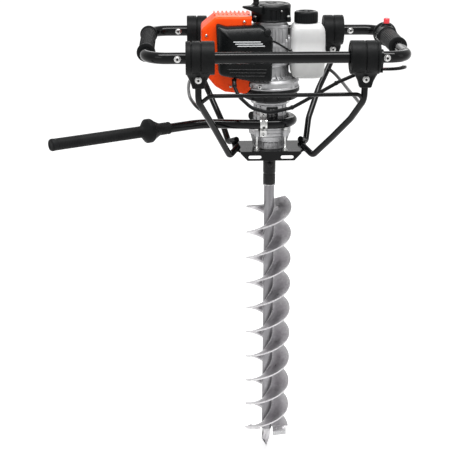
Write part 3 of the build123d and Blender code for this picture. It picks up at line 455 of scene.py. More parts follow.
def fil(pts, r, n=3, closed=False):
    """Rounds the corners of a 2D line; r is one radius or one for each corner."""
    out, N = [], len(pts)
    for i, p in enumerate(pts):
        ri = r[i] if isinstance(r, (list, tuple)) else r
        if (not closed and i in (0, N - 1)) or ri <= 0:
            out.append(tuple(p[:2]))
            continue
        a, b, c = Vector(pts[i - 1][:2]), Vector(p[:2]), Vector(pts[(i + 1) % N][:2])
        d1, d2 = a - b, c - b
        l1, l2 = d1.length, d2.length
        if l1 < 1e-6 or l2 < 1e-6:
            out.append(tuple(p[:2]))
            continue
        d1, d2 = d1 / l1, d2 / l2
        ang = math.acos(max(-1, min(1, d1.dot(d2))))
        if ang > math.pi - 0.03:
            out.append(tuple(p[:2]))
            continue
        t = min(ri / math.tan(ang / 2), 0.48 * l1, 0.48 * l2)
        rr = t * math.tan(ang / 2)
        cen = b + (d1 + d2).normalized() * (rr / math.sin(ang / 2))
        s, e = b + d1 * t, b + d2 * t
        a0, a1 = math.atan2(*(s - cen).yx), math.atan2(*(e - cen).yx)
        da = (a1 - a0 + math.pi) % (2 * math.pi) - math.pi
        for k in range(n + 1):
            w = a0 + da * k / n
            out.append((cen.x + rr * math.cos(w), cen.y + rr * math.sin(w)))
    return out


def lathe(g, prof, at=(0, 0, 0), axis=(0, 0, 1), up=None, n=64, mat=0, closed=False, mod=None):
    x, y, z = basis(axis, up)
    at = Vector(at)
    V, R = [], []
    for k, p in enumerate(prof):
        r, t = p[0], p[1]
        if r < 1e-6:
            R.append([len(V)])
            V.append(tuple(at + z * t))
            continue
        ring = []
        for i in range(n):
            th = 2 * math.pi * i / n
            rr, tt = r, t
            if len(p) > 2 and p[2] == "h":
                rr = r * math.cos(math.pi / 6) / math.cos((th % (math.pi / 3)) - math.pi / 6)
            if mod:
                rr, tt = mod(rr, tt, th, k)
            ring.append(len(V))
            V.append(tuple(at + x * (rr * math.cos(th)) + y * (rr * math.sin(th)) + z * tt))
        R.append(ring)
    F = []
    K = len(R)
    for k in range(K if closed else K - 1):
        a, b = R[k], R[(k + 1) % K]
        if len(a) == 1 and len(b) == 1:
            continue
        for i in range(n):
            j = (i + 1) % n
            if len(a) == 1:
                F.append([a[0], b[i], b[j]])
            elif len(b) == 1:
                F.append([a[i], b[0], a[j]])
            else:
                F.append([a[i], b[i], b[j], a[j]])
    return g.add(V, F, mat)


PL = {"XZ": lambda u, v, d: (u, d, v), "XY": lambda u, v, d: (u, v, d), "YZ": lambda u, v, d: (d, u, v)}


def inset(pts, d):
    N, out = len(pts), []
    area = sum(pts[i][0] * pts[(i + 1) % N][1] - pts[(i + 1) % N][0] * pts[i][1] for i in range(N))
    s = 1 if area > 0 else -1
    for i in range(N):
        a, b, c = Vector(pts[i - 1]), Vector(pts[i]), Vector(pts[(i + 1) % N])
        e1, e2 = (b - a), (c - b)
        if e1.length < 1e-9 or e2.length < 1e-9:
            out.append(tuple(b))
            continue
        e1.normalize(), e2.normalize()
        n1, n2 = Vector((-e1.y, e1.x)) * s, Vector((-e2.y, e2.x)) * s
        k = max(0.35, 1 + n1.dot(n2))
        out.append(tuple(b + (n1 + n2) * (d / k)))
    return out


def loops(g, L, mat=0, cap0=True, cap1=True):
    """Joins loops of equal length into a skin."""
    V, F, n = [], [], len(L[0])
    for lp in L:
        V.extend(lp)
    for k in range(len(L) - 1):
        for i in range(n):
            j = (i + 1) % n
            F.append([k * n + i, k * n + j, (k + 1) * n + j, (k + 1) * n + i])
    if cap0:
        F.append(list(range(n))[::-1])
    if cap1:
        F.append([(len(L) - 1) * n + i for i in range(n)])
    return g.add(V, F, mat)


def prism(g, pts, a0, a1, plane="XZ", e0=1.0, e1=1.0, rc=0, mat=0, n=3, nc=4, crown=0.0):
    """An extruded outline with rounded edges; rc rounds the outline's own corners; crown domes the a1 face."""
    if rc:
        pts = fil(pts, rc, nc, True)
    s = 1 if a1 > a0 else -1
    f, L = PL[plane], []
    if e0:
        for k in range(n + 1):
            w = math.pi / 2 * k / n
            q = inset(pts, e0 * (1 - math.sin(w)))
            L.append([f(u, v, a0 + s * e0 * (1 - math.cos(w))) for u, v in q])
    else:
        L.append([f(u, v, a0) for u, v in pts])
    if e1:
        for k in range(n + 1):
            w = math.pi / 2 * k / n
            q = inset(pts, e1 * (1 - math.cos(w)))
            L.append([f(u, v, a1 - s * e1 * (1 - math.sin(w))) for u, v in q])
    else:
        q = pts
        L.append([f(u, v, a1) for u, v in pts])
    if crown:
        cu, cv = sum(p[0] for p in q) / len(q), sum(p[1] for p in q) / len(q)
        for k in range(1, 6):
            t = 1 - k / 6.0
            L.append([f(cu + (u - cu) * t, cv + (v - cv) * t, a1 + s * crown * (1 - t * t)) for u, v in q])
    return loops(g, L, mat)


def rrect(cx, cy, hx, hy, r, n=5):
    return fil([(cx - hx, cy - hy), (cx + hx, cy - hy), (cx + hx, cy + hy), (cx - hx, cy + hy)], r, n, True)


def box(g, lo, hi, e=1.0, mat=0, plane="XY", rc=None):
    if plane == "XY":
        return prism(g, rrect((lo[0] + hi[0]) / 2, (lo[1] + hi[1]) / 2, (hi[0] - lo[0]) / 2, (hi[1] - lo[1]) / 2, rc or e * 1.1, 3), lo[2], hi[2], "XY", e, e, 0, mat)
    if plane == "XZ":
        return prism(g, rrect((lo[0] + hi[0]) / 2, (lo[2] + hi[2]) / 2, (hi[0] - lo[0]) / 2, (hi[2] - lo[2]) / 2, rc or e * 1.1, 3), lo[1], hi[1], "XZ", e, e, 0, mat)
    return prism(g, rrect((lo[1] + hi[1]) / 2, (lo[2] + hi[2]) / 2, (hi[1] - lo[1]) / 2, (hi[2] - lo[2]) / 2, rc or e * 1.1, 3), lo[0], hi[0], "YZ", e, e, 0, mat)


def sweep(g, path, r, n=16, mat=0, rf=None, caps=True, squash=1.0, up=None):
    """A round or oval rod along a dense line of points."""
    P = [Vector(p) for p in path]
    L, x = [], None
    for i, p in enumerate(P):
        t = (P[min(i + 1, len(P) - 1)] - P[max(i - 1, 0)]).normalized()
        if x is None:
            x = basis(t, up)[0]
        x = (x - t * x.dot(t)).normalized()
        y = t.cross(x)
        rr = rf(i, p) if rf else r
        L.append([tuple(p + x * (rr * math.cos(2 * math.pi * k / n)) + y * (rr * squash * math.sin(2 * math.pi * k / n))) for k in range(n)])
    return loops(g, L, mat, caps, caps)


def bead(g, path, r=1.8, mat=0, seed=0, n=10):
    """A weld bead with its ripples."""
    P = [Vector(p) for p in path]
    out = [P[0]]
    for a, b in zip(P, P[1:]):
        m = max(1, int((b - a).length / 1.0))
        out += [a + (b - a) * (k / m) for k in range(1, m + 1)]
    def rf(i, p):
        end = min(1.0, (i + 1) / 3.0, (len(out) - i) / 3.0)
        return r * end * (1 + 0.16 * math.sin(i * 1.9 + seed) + 0.12 * noise.noise(p * 0.6))
    return sweep(g, out, r, n, mat, rf)


def hex_nut(g, at, axis, r, h, mat=0, bore=0.0, up=None):
    """Hexagon with chamfered corners, r to the corners."""
    c = r * 0.13
    prof = [(0, 0) if not bore else (bore, 0), (r * 0.84, 0, "c"), (r, c, "h"), (r, h - c, "h"), (r * 0.84, h, "c")]
    prof += [(0, h)] if not bore else [(bore + 0.6, h), (bore, h - 0.6)]
    return lathe(g, prof, at, axis, up, 36, mat, closed=bool(bore))


def socket_screw(g, at, axis, r, h, mat=0, dark=1, up=None, dome=0.4):
    """Cap screw with a hexagon socket; at is the seat, axis points outward."""
    k = r * 0.5
    lathe(g, fil([(r, 0), (r, h), (k + 0.25, h + dome)], [0, r * 0.22, 0], 3) + [(k, h + dome - 0.25, "h")], at, axis, up, 36, mat)
    # painted shade: the socket's walls and floor are near-black
    lathe(g, [(k, h + dome - 0.25, "h"), (k, h * 0.35, "h"), (0, h * 0.35)], at, axis, up, 36, dark)
    return g


def washer(g, at, axis, r, t, mat=0):
    return lathe(g, fil([(r * 0.4, 0), (r, 0), (r, t), (r * 0.4, t)], t * 0.3, 2, True), at, axis, None, 40, mat, closed=True)


def screw(g, at, axis, r, h, mat=0, dark=1):
    """Pan head screw with a cross recess."""
    x, y, z = basis(axis)
    lathe(g, fil([(r, 0), (r, h * 0.5), (r * 0.75, h), (0, h * 1.12)], [0, h * 0.3, h * 0.4, 0], 3), at, axis, None, 24, mat)
    a = Vector(at)
    # painted shade: the cross recess is two near-black bars
    for u, v in ((x, y), (y, x)):
        c = a + z * (h * 1.0)
        w, l, d = r * 0.13, r * 0.62, h * 0.16
        pts = [c + u * (su * l) + v * (sv * w) + z * sz * d for sz in (-1, 1) for su, sv in ((-1, -1), (1, -1), (1, 1), (-1, 1))]
        g.add([tuple(p) for p in pts], [[0, 1, 2, 3], [4, 5, 6, 7], [0, 1, 5, 4], [1, 2, 6, 5], [2, 3, 7, 6], [3, 0, 4, 7]], dark)
    return g

BAR_Z, BAR_Y = 272.0, 215.0

# ------------------------------------------------------------------ rubber dampers round the bars
def damper(g, x0, x1, y, grooves):
    prof = [(14.25, x0 + 2.2), (18.2, x0 + 2.2), (19.6, x0), (24.5, x0), (25.6, x0 + 1.4), (33.2, x0 + 1.4), (34.4, x0), (40, x0)]
    rad = [0, 0.6, 0.8, 0.5, 0.5, 0.5, 0.5, 2.6]
    for gx in grooves:
        prof += [(40, gx - 1.7), (37.2, gx - 1.0), (37.2, gx + 1.0), (40, gx + 1.7)]
        rad += [1.0, 0.4, 0.4, 1.0]
    prof += [(40, x1), (34.4, x1), (33.2, x1 - 1.4), (25.6, x1 - 1.4), (24.5, x1), (19.6, x1), (18.2, x1 - 2.2), (14.25, x1 - 2.2)]
    rad += [2.6, 0.5, 0.5, 0.5, 0.5, 0.8, 0.6, 0]
    seam = lambda r, t, th, k: (r + (0.45 * max(0.0, 1 - abs(math.sin(th)) * 16) if r > 36 else 0), t)
    # the moulding's parting line runs along the front and the back
    lathe(g, fil(prof, rad, 3), (0, y, BAR_Z), (1, 0, 0), (0, 1, 0), 128, 0, mod=seam)


for nm, grp in (("damper_front_left", ((-217, -148, -BAR_Y, (-203.5, -181)),)), ("damper_front_right", ((174, 244, -BAR_Y, (209, 236)),)),
                ("rear_dampers", ((-211, -157, BAR_Y, (-184,)), (157, 211, BAR_Y, (184,))))):
    g = Geo()
    for x0, x1, y, gr in grp:
        damper(g, x0, x1, y, gr)
    make(nm + "_moulded", g, [M_RUBBER], "root", (nm,), 28)

# tapered saddles under the dampers
g = Geo()
for cx, y, w in ((-187, -BAR_Y, 30), (212, -BAR_Y, 30), (-184, BAR_Y, 25), (184, BAR_Y, 25)):
    secs = []
    for z, hx, hy, r in ((200, 13.6, 10.6, 5), (201.6, 15, 12, 5.5), (206, 16, 12, 5.5), (216, 19, 12, 5.5), (226, 22 + (w - 25) * 0.4, 12.6, 5.5),
                         (232, w - 3, 15.5, 6), (237, w - 1.5, 20, 7), (242, w - 0.5, 25, 8), (246, w, 28, 8)):
        secs.append([(u, v, z) for u, v in rrect(cx, y, hx, hy, r, 5)])
    loops(g, secs, 0)
    for s in (-1, 1):
        # stiffening ribs down each face
        for dx in (-11.5, 11.5):
            sweep(g, [(cx + dx * 1.35, y + s * 13.4, 231), (cx + dx * 1.15, y + s * 12.4, 222), (cx + dx, y + s * 12.3, 208)], 1.3, 8, 0)
    lathe(g, fil([(4.2, 0), (10.2, 0), (9.6, 1.1), (4.2, 1.1)], 0.4, 2, True), (cx, y + 11.4, 221), (0, 1, 0), None, 40, 0, closed=True)
make("damper_saddles", g, [M_BPLAST], "root", ("damper_brackets",), 34)

# ------------------------------------------------------------------ frame bolts
g = Geo()
for x, y, z, gp in ((-236, -BAR_Y, BAR_Z, 14), (-234, BAR_Y, BAR_Z, 14), (260.5, -BAR_Y, BAR_Z, 14), (230, BAR_Y, BAR_Z, 14),
                    (-187, -BAR_Y, 221, 12), (212, -BAR_Y, 221, 12), (-184, BAR_Y, 221, 12), (184, BAR_Y, 221, 12)):
    if gp == 14:
        # saddle washer that bears on the round tube
        lathe(g, fil([(3.0, -3.2), (8.6, -3.2), (8.6, 0.0), (3.0, 0.0)], 0.5, 2, True), (x, y - gp + 0.2, z), (0, -1, 0), None, 40, 2, closed=True)
    washer(g, (x, y - gp, z), (0, -1, 0), 8.3, 1.5, 0)
    socket_screw(g, (x, y - gp - 1.5, z), (0, -1, 0), 6.6, 4.6, 0, 1)
    washer(g, (x, y + gp - 0.1, z), (0, 1, 0), 7.6, 1.2, 0)
    hex_nut(g, (x, y + gp + 1.1, z), (0, 1, 0), 6.6, 4.8, 0)
    lathe(g, fil([(3.9, 0), (3.9, 1.6), (3.3, 2.0), (0, 2.0)], 0.1, 1), (x, y + gp + 5.8, z), (0, 1, 0), None, 28, 0)
lathe(g, fil([(2.45, -19), (4.2, -19), (4.2, -20.4), (0, -20.9)], [0, 0, 0.8, 0], 3), (248.4, -205.4 + 0.0, 243), (0, -1, 0), None, 24, 0)
make("frame_bolts_detailed", g, [M_ZINC, M_RECESS_SHADE, M_BPLAST], "root", ("frame_bolts",), 30)

# ------------------------------------------------------------------ left grip, ringed rubber
prof, rad = [(14.05, -135), (21.6, -135)], [0, 1.0]
prof += [(23, -133.4), (23, -128.4), (21.2, -127), (18.6, -127)]
rad += [1.2, 1.2, 0.6, 0.5]
y = -123.5
while y < 145:
    prof += [(17.9, y - 1.4), (19.6, y - 0.6), (19.6, y + 1.7), (17.9, y + 2.5)]
    rad += [0.4, 0.6, 0.6, 0.4]
    y += 5.6
prof += [(18.6, 149), (21.2, 149), (23, 150.4), (23, 155.4), (21.6, 157), (14.05, 157)]
rad += [0.5, 0.6, 1.2, 1.2, 1.0, 0]
g = Geo()
lathe(g, fil(prof, rad, 2), (-312, 0, BAR_Z), (0, 1, 0), None, 72, 0, closed=True)
make("grip_left_ringed", g, [M_GRIP], "root", ("grip_left",), 40)

# ------------------------------------------------------------------ right throttle grip
g = Geo()
RX = 314.0
ribs = lambda r, t, th, k: (r + (0.95 * (abs(math.sin(th * 15)) ** 0.6 - 0.6) if 21.0 < r < 22.7 else 0), t)
lathe(g, fil([(14.05, -64), (21.6, -64), (23.6, -62), (23.6, -57), (21.8, -55), (21.8, -53), (21.9, 20), (21.9, 84), (22.8, 87), (22.8, 92.5), (14.05, 92.5)],
             [0, 1, 1.6, 1.6, 0.5, 0.3, 0, 0.3, 0.6, 0, 0], 2), (RX, 0, BAR_Z), (0, 1, 0), None, 180, 1, closed=True, mod=ribs)
lathe(g, fil([(14.05, 92), (24.4, 92), (26, 94), (26, 116.2), (25.3, 116.6), (25.3, 117.4), (26, 117.8), (26, 139), (27.5, 141), (30.2, 141.6), (31, 143), (31, 146.6), (29.6, 148), (14.05, 148)],
             [0, 1.4, 1.4, 0.2, 0.2, 0.2, 0.2, 1.4, 1, 0.8, 1.0, 1.2, 1.2, 0], 3), (RX, 0, BAR_Z), (0, 1, 0), None, 96, 0, closed=True)
# switch boss with its collar
lathe(g, fil([(15.5, 20), (14.6, 24), (12.6, 27.0), (12.0, 31), (8.35, 31), (8.35, 20.5)], [0, 2, 2, 0.8, 0.5, 0], 4), (RX, 122, BAR_Z), (0, 0, 1), None, 56, 0)
# painted shade: a near-black disc on the floor of the switch boss
lathe(g, [(8.36, 20.8), (0, 20.8)], (RX, 122, BAR_Z), (0, 0, 1), None, 56, 2)
# clamp half line, lugs and screws on the underside
for s in (-1, 1):
    box(g, (RX + s * 26.0 - 2.6, 97, BAR_Z - 6.5), (RX + s * 26.0 + 2.6, 112, BAR_Z + 6.5), 1.6, 0, "XZ", 2.2)
    box(g, (RX + s * 26.0 - 2.6, 122, BAR_Z - 6.5), (RX + s * 26.0 + 2.6, 136, BAR_Z + 6.5), 1.6, 0, "XZ", 2.2)
for yy in (104.5, 129):
    for s in (-1, 1):
        socket_screw(g, (RX + s * 26.0, yy, BAR_Z - 6.4), (0, 0, -1), 2.3, 1.6, 3, 2)
make("throttle_grip_detailed", g, [M_BPLAST, M_GRIP, M_RECESS_SHADE, M_ZINC], "root", ("throttle_grip",), 32)

g = Geo()
lathe(g, fil([(7.9, 296 - BAR_Z), (7.9, 314.4 - BAR_Z), (6.6, 316 - BAR_Z), (4.6, 315.3 - BAR_Z), (0, 315.0 - BAR_Z)], [0, 1.4, 0.8, 0.6, 0], 4), (RX, 122, BAR_Z), (0, 0, 1), None, 48, 0)
make("stop_button_moulded", g, [M_RED], "stop_button", ("stop_button",), 40)

# ------------------------------------------------------------------ reaction bar's grip and its guard
g = Geo()
bd = Vector((-360, -220, 0)).normalized()
be = Vector((-536, -264, 76))
prof = [(11.05, -326), (13.6, -326), (15.5, -323.5), (15.5, -319), (14.6, -317.5), (14.6, -315), (15.3, -313.5), (15.3, -296), (17.6, -290), (22.5, -280.5), (29.4, -270.8), (30, -269), (30, -258.8), (29, -257.6), (19.5, -249.5), (15.6, -245.5), (14.6, -243)]
rad = [0, 1.2, 1.2, 0.8, 0.4, 0.4, 0.8, 3, 4, 6, 1.0, 0.8, 1.0, 0.8, 3, 2, 1]
t = -238.0
while t < -10:
    prof += [(14.5, t), (14.15, t + 0.5), (14.15, t + 1.3), (14.5, t + 1.8)]
    rad += [0, 0, 0, 0]
    t += 4.4
prof += [(14.6, -7), (15.0, -6), (15.0, -0.6), (13.4, 2.6), (9.5, 3.0), (8.5, 2.0), (0, 2.0)]
rad += [0.5, 0.6, 2.2, 1.0, 0.4, 0.3, 0]
lathe(g, fil(prof, rad, 2), be, bd, (0, 0, 1), 64, 0)
make("reaction_grip_moulded", g, [M_GRIP], "root", ("reaction_grip",), 38)

# ------------------------------------------------------------------ clamps that hold the reaction bar's ring
g = Geo()
for s, xc in ((-1, -20), (1, 17)):
    yc = s * 58.0
    path = []
    for k in range(0, 25):
        w = math.radians(-118 + 236 * k / 24.0)
        path.append((xc, yc + s * 13.6 * math.cos(w), 76 + 13.6 * math.sin(w)))
    path = [(xc, s * 41.5, 62.2), (xc, s * 47, 62.0)] + path[1:-1] + [(xc, s * 47, 90.0), (xc, s * 41.5, 89.8)]
    # flat band: a strip section swept about the tube
    P = [Vector(p) for p in path]
    L = []
    for i, p in enumerate(P):
        tg = (P[min(i + 1, len(P) - 1)] - P[max(i - 1, 0)]).normalized()
        nrm = Vector((0, -tg.z, tg.y)) * s
        sec = rrect(0, 0, 9.0, 1.05, 0.7, 2)
        L.append([tuple(p + Vector((1, 0, 0)) * u + nrm * v) for u, v in sec])
    loops(g, L, 0)
    for sx in (-4.6, 4.6):
        sweep(g, [tuple(Vector(q) + Vector((sx, 0, 0)) + Vector((0, (Vector(q).y - yc) / 14.0, (Vector(q).z - 76) / 14.0))) for q in path[3:-3]], 0.75, 8, 0)
    yy = yc + s * 14.4
    washer(g, (xc, yy, 84.0), (0, s, 0.32), 5.2, 1.0, 0)
    hex_nut(g, (xc, yy + s * 0.8, 84.3), (0, s, 0.32), 5.0, 3.6, 0)
    # painted shade: a small near-black block on the band below the nut
    box(g, (xc - 3.2, yy - (0.6 if s > 0 else 1.2), 66.0), (xc + 3.2, yy + (1.2 if s > 0 else 0.6), 70.5), 0.5, 1, "XZ")
# the front band runs on: a tab bolted to the gearbox rim below and one to the neck above
for path, zb, yb in (([(-61.6, 63.0), (-58.6, 60.6), (-56.2, 57.6), (-55.6, 52), (-55.6, 41.5)], 46.6, -56.8), ([(-45.0, 90.2), (-44.2, 92), (-43.6, 96), (-43.4, 104.5)], 98.0, -44.4)):
    L = []
    for i, q in enumerate(path):
        a, b = Vector(path[max(i - 1, 0)]), Vector(path[min(i + 1, len(path) - 1)])
        tg = (b - a).normalized()
        nr = Vector((tg.y, -tg.x))
        L.append([(-20 + u, q[0] + nr.x * v, q[1] + nr.y * v) for u, v in rrect(0, 0, 8.8, 1.1, 0.7, 2)])
    loops(g, L, 0)
    washer(g, (-20, yb, zb), (0, -1, 0), 5.4, 1.0, 0)
    socket_screw(g, (-20, yb - 0.9, zb), (0, -1, 0), 3.9, 3.0, 0, 1)
make("reaction_clamps_banded", g, [M_ZINC, M_RECESS_SHADE], "root", ("reaction_clamps",), 30)

# ------------------------------------------------------------------ orange shrouds
def cover_skin(g, line, corners, y0, y1, e, r=8.0, mat=0, flip=1):
    """Skin with both cheeks; line runs round the closed side, corners are the points that close the cheek polygon."""
    pts = fil(line, r, 4)
    N = len(pts)

    def off(d):
        out = []
        for i in range(N):
            a, b, c = Vector(pts[max(i - 1, 0)]), Vector(pts[i]), Vector(pts[min(i + 1, N - 1)])
            e1 = (b - a).normalized() if i > 0 else (c - b).normalized()
            e2 = (c - b).normalized() if i < N - 1 else e1
            n1, n2 = Vector((-e1.y, e1.x)) * flip, Vector((-e2.y, e2.x)) * flip
            k = max(0.4, 1 + n1.dot(n2))
            out.append(b + (n1 + n2) * (d / k))
        return out
    V, F = [], []
    rows = []
    S = 5
    prof = [(e * (1 - math.cos(math.pi / 2 * (1 - k / S))), e * (1 - math.sin(math.pi / 2 * (1 - k / S)))) for k in range(S + 1)]
    # from the front cheek round the edge to the wall, then the same at the back
    for d, dy in prof:
        rows.append([(p.x, y0 + dy, p.y) for p in off(d)])
    for d, dy in reversed(prof):
        rows.append([(p.x, y1 - dy, p.y) for p in off(d)])
    for rw in rows:
        V.extend(rw)
    for k in range(len(rows) - 1):
        for i in range(N - 1):
            F.append([k * N + i, k * N + i + 1, (k + 1) * N + i + 1, (k + 1) * N + i])
    base = len(V)
    V.extend([(c[0], y0, c[1]) for c in corners])
    F.append([i for i in range(N)] + [base + k for k in range(len(corners))])
    base2 = len(V)
    V.extend([(c[0], y1, c[1]) for c in corners])
    last = (len(rows) - 1) * N
    F.append([last + i for i in range(N)][::-1] + [base2 + k for k in reversed(range(len(corners)))])
    return g.add(V, F, mat)


up_line = [(-51.8, 346), (-140, 346), (-176, 316), (-176, 246.4)]
g = Geo()
cover_skin(g, up_line, [(-51.8, 246.4)], -58, 58, 7.0, 12.0, 0, flip=1)
c = Geo()
for k in range(8):
    xx = -137 + k * 10.6
    box(c, (xx - 2.9, 26, 331), (xx + 2.9, 66, 352), 1.2, 0, "XY", 2.0)
for k in range(5):
    zz = 262 + k * 10.0
    box(c, (-182, -30, zz - 2.6), (-166, 30, zz + 2.6), 1.0, 0, "YZ", 2.0)
up_cut = cutter(c)
shroud_up = make("engine_shroud_moulded", g, [M_ORANGE], "root", ("engine_shroud",), 34, solid=3.0, cuts=(up_cut,))

low_line = [(-176, 244.6), (-176, 226), (-162, 196), (-142, 172), (-118, 158), (-62, 151.8), (-51.8, 168)]
g = Geo()
cover_skin(g, low_line, [(-51.8, 244.6)], -58, 58, 7.0, 16.0, 0, flip=1)
c = Geo()
lathe(c, [(0, 130), (76.6, 130), (76.6, 256), (0, 256)], n=128)
c2 = Geo()
for k in range(4):
    box(c2, (-170 + k * 13, -22, 150), (-163 + k * 13, 22, 215), 1.0, 0, "XY", 2.0)
make("lower_shroud_moulded", g, [M_ORANGE], "root", ("lower_shroud",), 34, solid=3.0, cuts=(cutter(c), cutter(c2)))

# raised ribs, the joint between the halves and the screws of the shrouds
g = Geo()
for k in range(9):
    xx = -142.3 + k * 10.6
    prism(g, [(xx - 1.5, -18), (xx + 1.5, -18), (xx + 1.5, 52), (xx - 1.5, 52)], 344.6, 347.6, "XY", 0, 1.1, 1.2, 0)
sweep(g, [(-176.3, -50, 245.4), (-176.3, 50, 245.4)], 1.5, 10, 0)
for s in (-1, 1):
    sweep(g, [(-174, s * 57.9, 245.4), (-52, s * 57.9, 245.4)], 1.35, 10, 0)
    for x, z in ((-164, 300), (-70, 334), (-164, 254), (-158, 212), (-104, 172)):
        lathe(g, fil([(0, -0.8), (5.4, -0.8), (5.0, 1.0), (3.6, 1.0), (3.4, -0.4), (0, -0.4)], 0.3, 2), (x, s * 58, z), (0, s, 0), None, 32, 0)
        screw(g, (x, s * 57.9, z), (0, s, 0), 3.1, 1.4, 1, 2)
make("shroud_ribs", g, [M_ORANGE, M_ZINC, M_RECESS_SHADE], "root", (), 30)

# ------------------------------------------------------------------ black front cover over the air filter and carburettor
cov = [(-141, 333), (-116, 325), (-26, 328), (0, 296), (-2, 188), (-54, 190), (-135, 206)]
rc = [6, 22, 20, 12, 8, 30, 14]
base = fil(cov, rc, 6, True)
L = []
EDGE = 13.0
for k in range(9):
    w = math.pi / 2 * k / 8
    L.append([(u, -96 + EDGE * (1 - math.sin(w)), v) for u, v in inset(base, EDGE * 0.62 * (1 - math.cos(w)))])
L.reverse()
L += [[(u, -60.2, v) for u, v in base], [(u, -59.2, v) for u, v in inset(base, 0.6)], [(u, -59.0, v) for u, v in inset(base, 3.4)], [(u, -84.0, v) for u, v in inset(base, 3.6)]]
# L runs from the rim of the front face round the edge to the open back, then inward
front = L[0]
cu, cv = sum(p[0] for p in front) / len(front), sum(p[2] for p in front) / len(front)
face = [[(cu + (x - cu) * t, -96 - 1.6 * (1 - t * t), cv + (z - cv) * t) for x, y, z in front] for t in (0.06, 0.25, 0.45, 0.65, 0.82, 0.93)]
# the top of the face leans back
lean = lambda q: (q[0], q[1] + (0.62 * max(0.0, q[2] - 303.0) if q[1] < -70 else 0.0), q[2])
face = [[lean(q) for q in lp] for lp in face]
L = [[lean(q) for q in lp] for lp in L]
g = Geo()
loops(g, face + L, 0, True, True)
# stamped panel line, two raised ribs and a generic stripe badge
for zz, x0, x1 in ((222, -112, -16), (214, -108, -18), (206, -92, -20)):
    sweep(g, [(x0, -96.6, zz), (x1, -96.6, zz - 1)], 1.3, 10, 0)
for k in range(3):
    z0 = 291.5 - k * 5.2
    prism(g, [(-98 + k * 5, z0), (-30 + k * 5, z0), (-32 + k * 5, z0 - 2.3), (-100 + k * 5, z0 - 2.3)], -96.0, -98.0, "XZ", 0, 0.5, 0.7, 1)
# knob that holds the cover, and its screws
lathe(g, fil([(0, 0), (9.5, 0), (9.5, 3.0), (7.8, 5.6), (0, 6.2)], [0, 0, 1.2, 2, 0], 3), (-14, -88.0, 312), (0, -1, 0.45), None, 48, 0, mod=lambda r, t, th, k: (r - (0.7 if (r > 7 and math.sin(th * 12) > 0.35) else 0), t))
for x, z in ((-120, 214), (-12, 200)):
    screw(g, (x, -93.2, z), (0, -1, 0), 3.0, 1.5, 2, 3)
make("filter_cover_moulded", g, [M_BGLOSS, M_MARK, M_ZINC, M_RECESS_SHADE], "root", ("filter_cover",), 36)

# ------------------------------------------------------------------ fuel tank, cap and line fittings
g = Geo()
TX, TY = 91.0, -20.0
L = []
for z, d, r in ((190, 15.0, 14), (190.9, 11.0, 15), (193.0, 7.2, 16), (197, 4.2, 17.5), (203, 2.2, 19), (212, 1.0, 20), (228, 0.3, 20), (255.2, 0.0, 20), (256.4, -1.1, 21), (258.4, -1.1, 21),
                (259.6, 0.0, 20), (285, 0.1, 20), (304, 0.6, 20), (313, 2.2, 19), (319, 4.8, 18), (323, 8.2, 17), (325.4, 12.4, 15.5), (326.2, 17, 14), (326.4, 21, 13)):
    L.append([(u, v, z) for u, v in rrect(TX, TY, 43 - d, 46 - d, r, 7)])
loops(g, L, 0)
lathe(g, fil([(27, 324), (24.4, 327), (23.2, 330), (23.2, 339.5), (20.2, 339.5), (20.2, 325)], [0, 3, 0.5, 0.5, 0.5, 0], 3), (87, -20, 0), (0, 0, 1), None, 64, 0)
# outlet boss for the fuel line and mounting lugs toward the crankcase
lathe(g, fil([(6.6, -3), (6.6, 1.2), (4.6, 2.6), (4.6, 5.0), (0, 5.0)], 0.6, 2), (49.5, -50, 258), (-1, 0.02, 0.0), None, 32, 1)
box(g, (46.5, -34, 238), (49.5, -2, 286), 1.0, 0, "YZ", 5)
make("fuel_tank_moulded", g, [M_TANK, M_CABLE], "root", ("fuel_tank",), 44)

g = Geo()
knurl = lambda r, t, th, k: (r - (1.25 * (0.5 + 0.5 * math.cos(th * 30)) ** 1.6 if r > 28.5 and t < 350 else 0), t)
lathe(g, fil([(23.4, 327.5), (29.4, 327.5), (30, 329.0), (30, 330.6), (29.9, 331.2), (29.9, 338), (29.9, 349.0), (29.2, 353.4), (25.6, 355.5), (19.8, 355.5), (19.0, 354.4), (6, 354.4), (0, 354.4)],
             [0, 0.5, 0.6, 0.2, 0.2, 0, 1.0, 2.2, 1.2, 0.4, 0.4, 0, 0], 3), (87, -20, 0), (0, 0, 1), None, 240, 0, mod=knurl)
for a in (0, 60, 120):
    c, s = math.cos(math.radians(a)), math.sin(math.radians(a))
    sweep(g, [(87 - 18 * c, -20 - 18 * s, 354.6), (87, -20, 354.9), (87 + 18 * c, -20 + 18 * s, 354.6)], 1.0, 8, 0)
lathe(g, fil([(6, 354.4), (6, 355.2), (0, 355.2)], 0.4, 2), (87, -20, 0), (0, 0, 1), None, 32, 0)
make("fuel_cap_ribbed", g, [M_BPLAST], "cap", ("fuel_cap",), 46)

# ------------------------------------------------------------------ recoil starter
g = Geo()
def vanes(r, t, th, k):
    # cooling slots pressed between ribs round the wall
    if 46.5 < r < 50.2 and 337 < t < 361:
        return (r - (1.9 if math.sin(th * 26) > 0.25 and not (2.6 < th < 4.6) else 0), t)
    return (r, t)
lathe(g, fil([(45.5, 330), (51.2, 330), (51.2, 333.4), (49.6, 334.6), (49.6, 336.6), (49.4, 337.2), (49.4, 360.6), (49.7, 361.4), (50, 363), (50, 368.2), (46.4, 372.2), (39.5, 372.2), (38.6, 370.9), (34.6, 370.9), (33.6, 372.6), (15.6, 373.0), (14.4, 371.6), (0, 371.6)],
             [0, 1.0, 0.8, 0.5, 0.2, 0.2, 0.2, 0.5, 0.4, 2.2, 1.6, 0.4, 0.4, 0.4, 0.6, 0.6, 0.4, 0], 3), (0, 0, 0), (0, 0, 1), None, 208, 0, mod=vanes)
lathe(g, fil([(0, 371.4), (8.4, 371.4), (8.4, 372.6), (6.6, 373.0), (0, 373.0)], [0, 0, 0.4, 0.3, 0], 3), (0, 0, 0), (0, 0, 1), None, 36, 0)
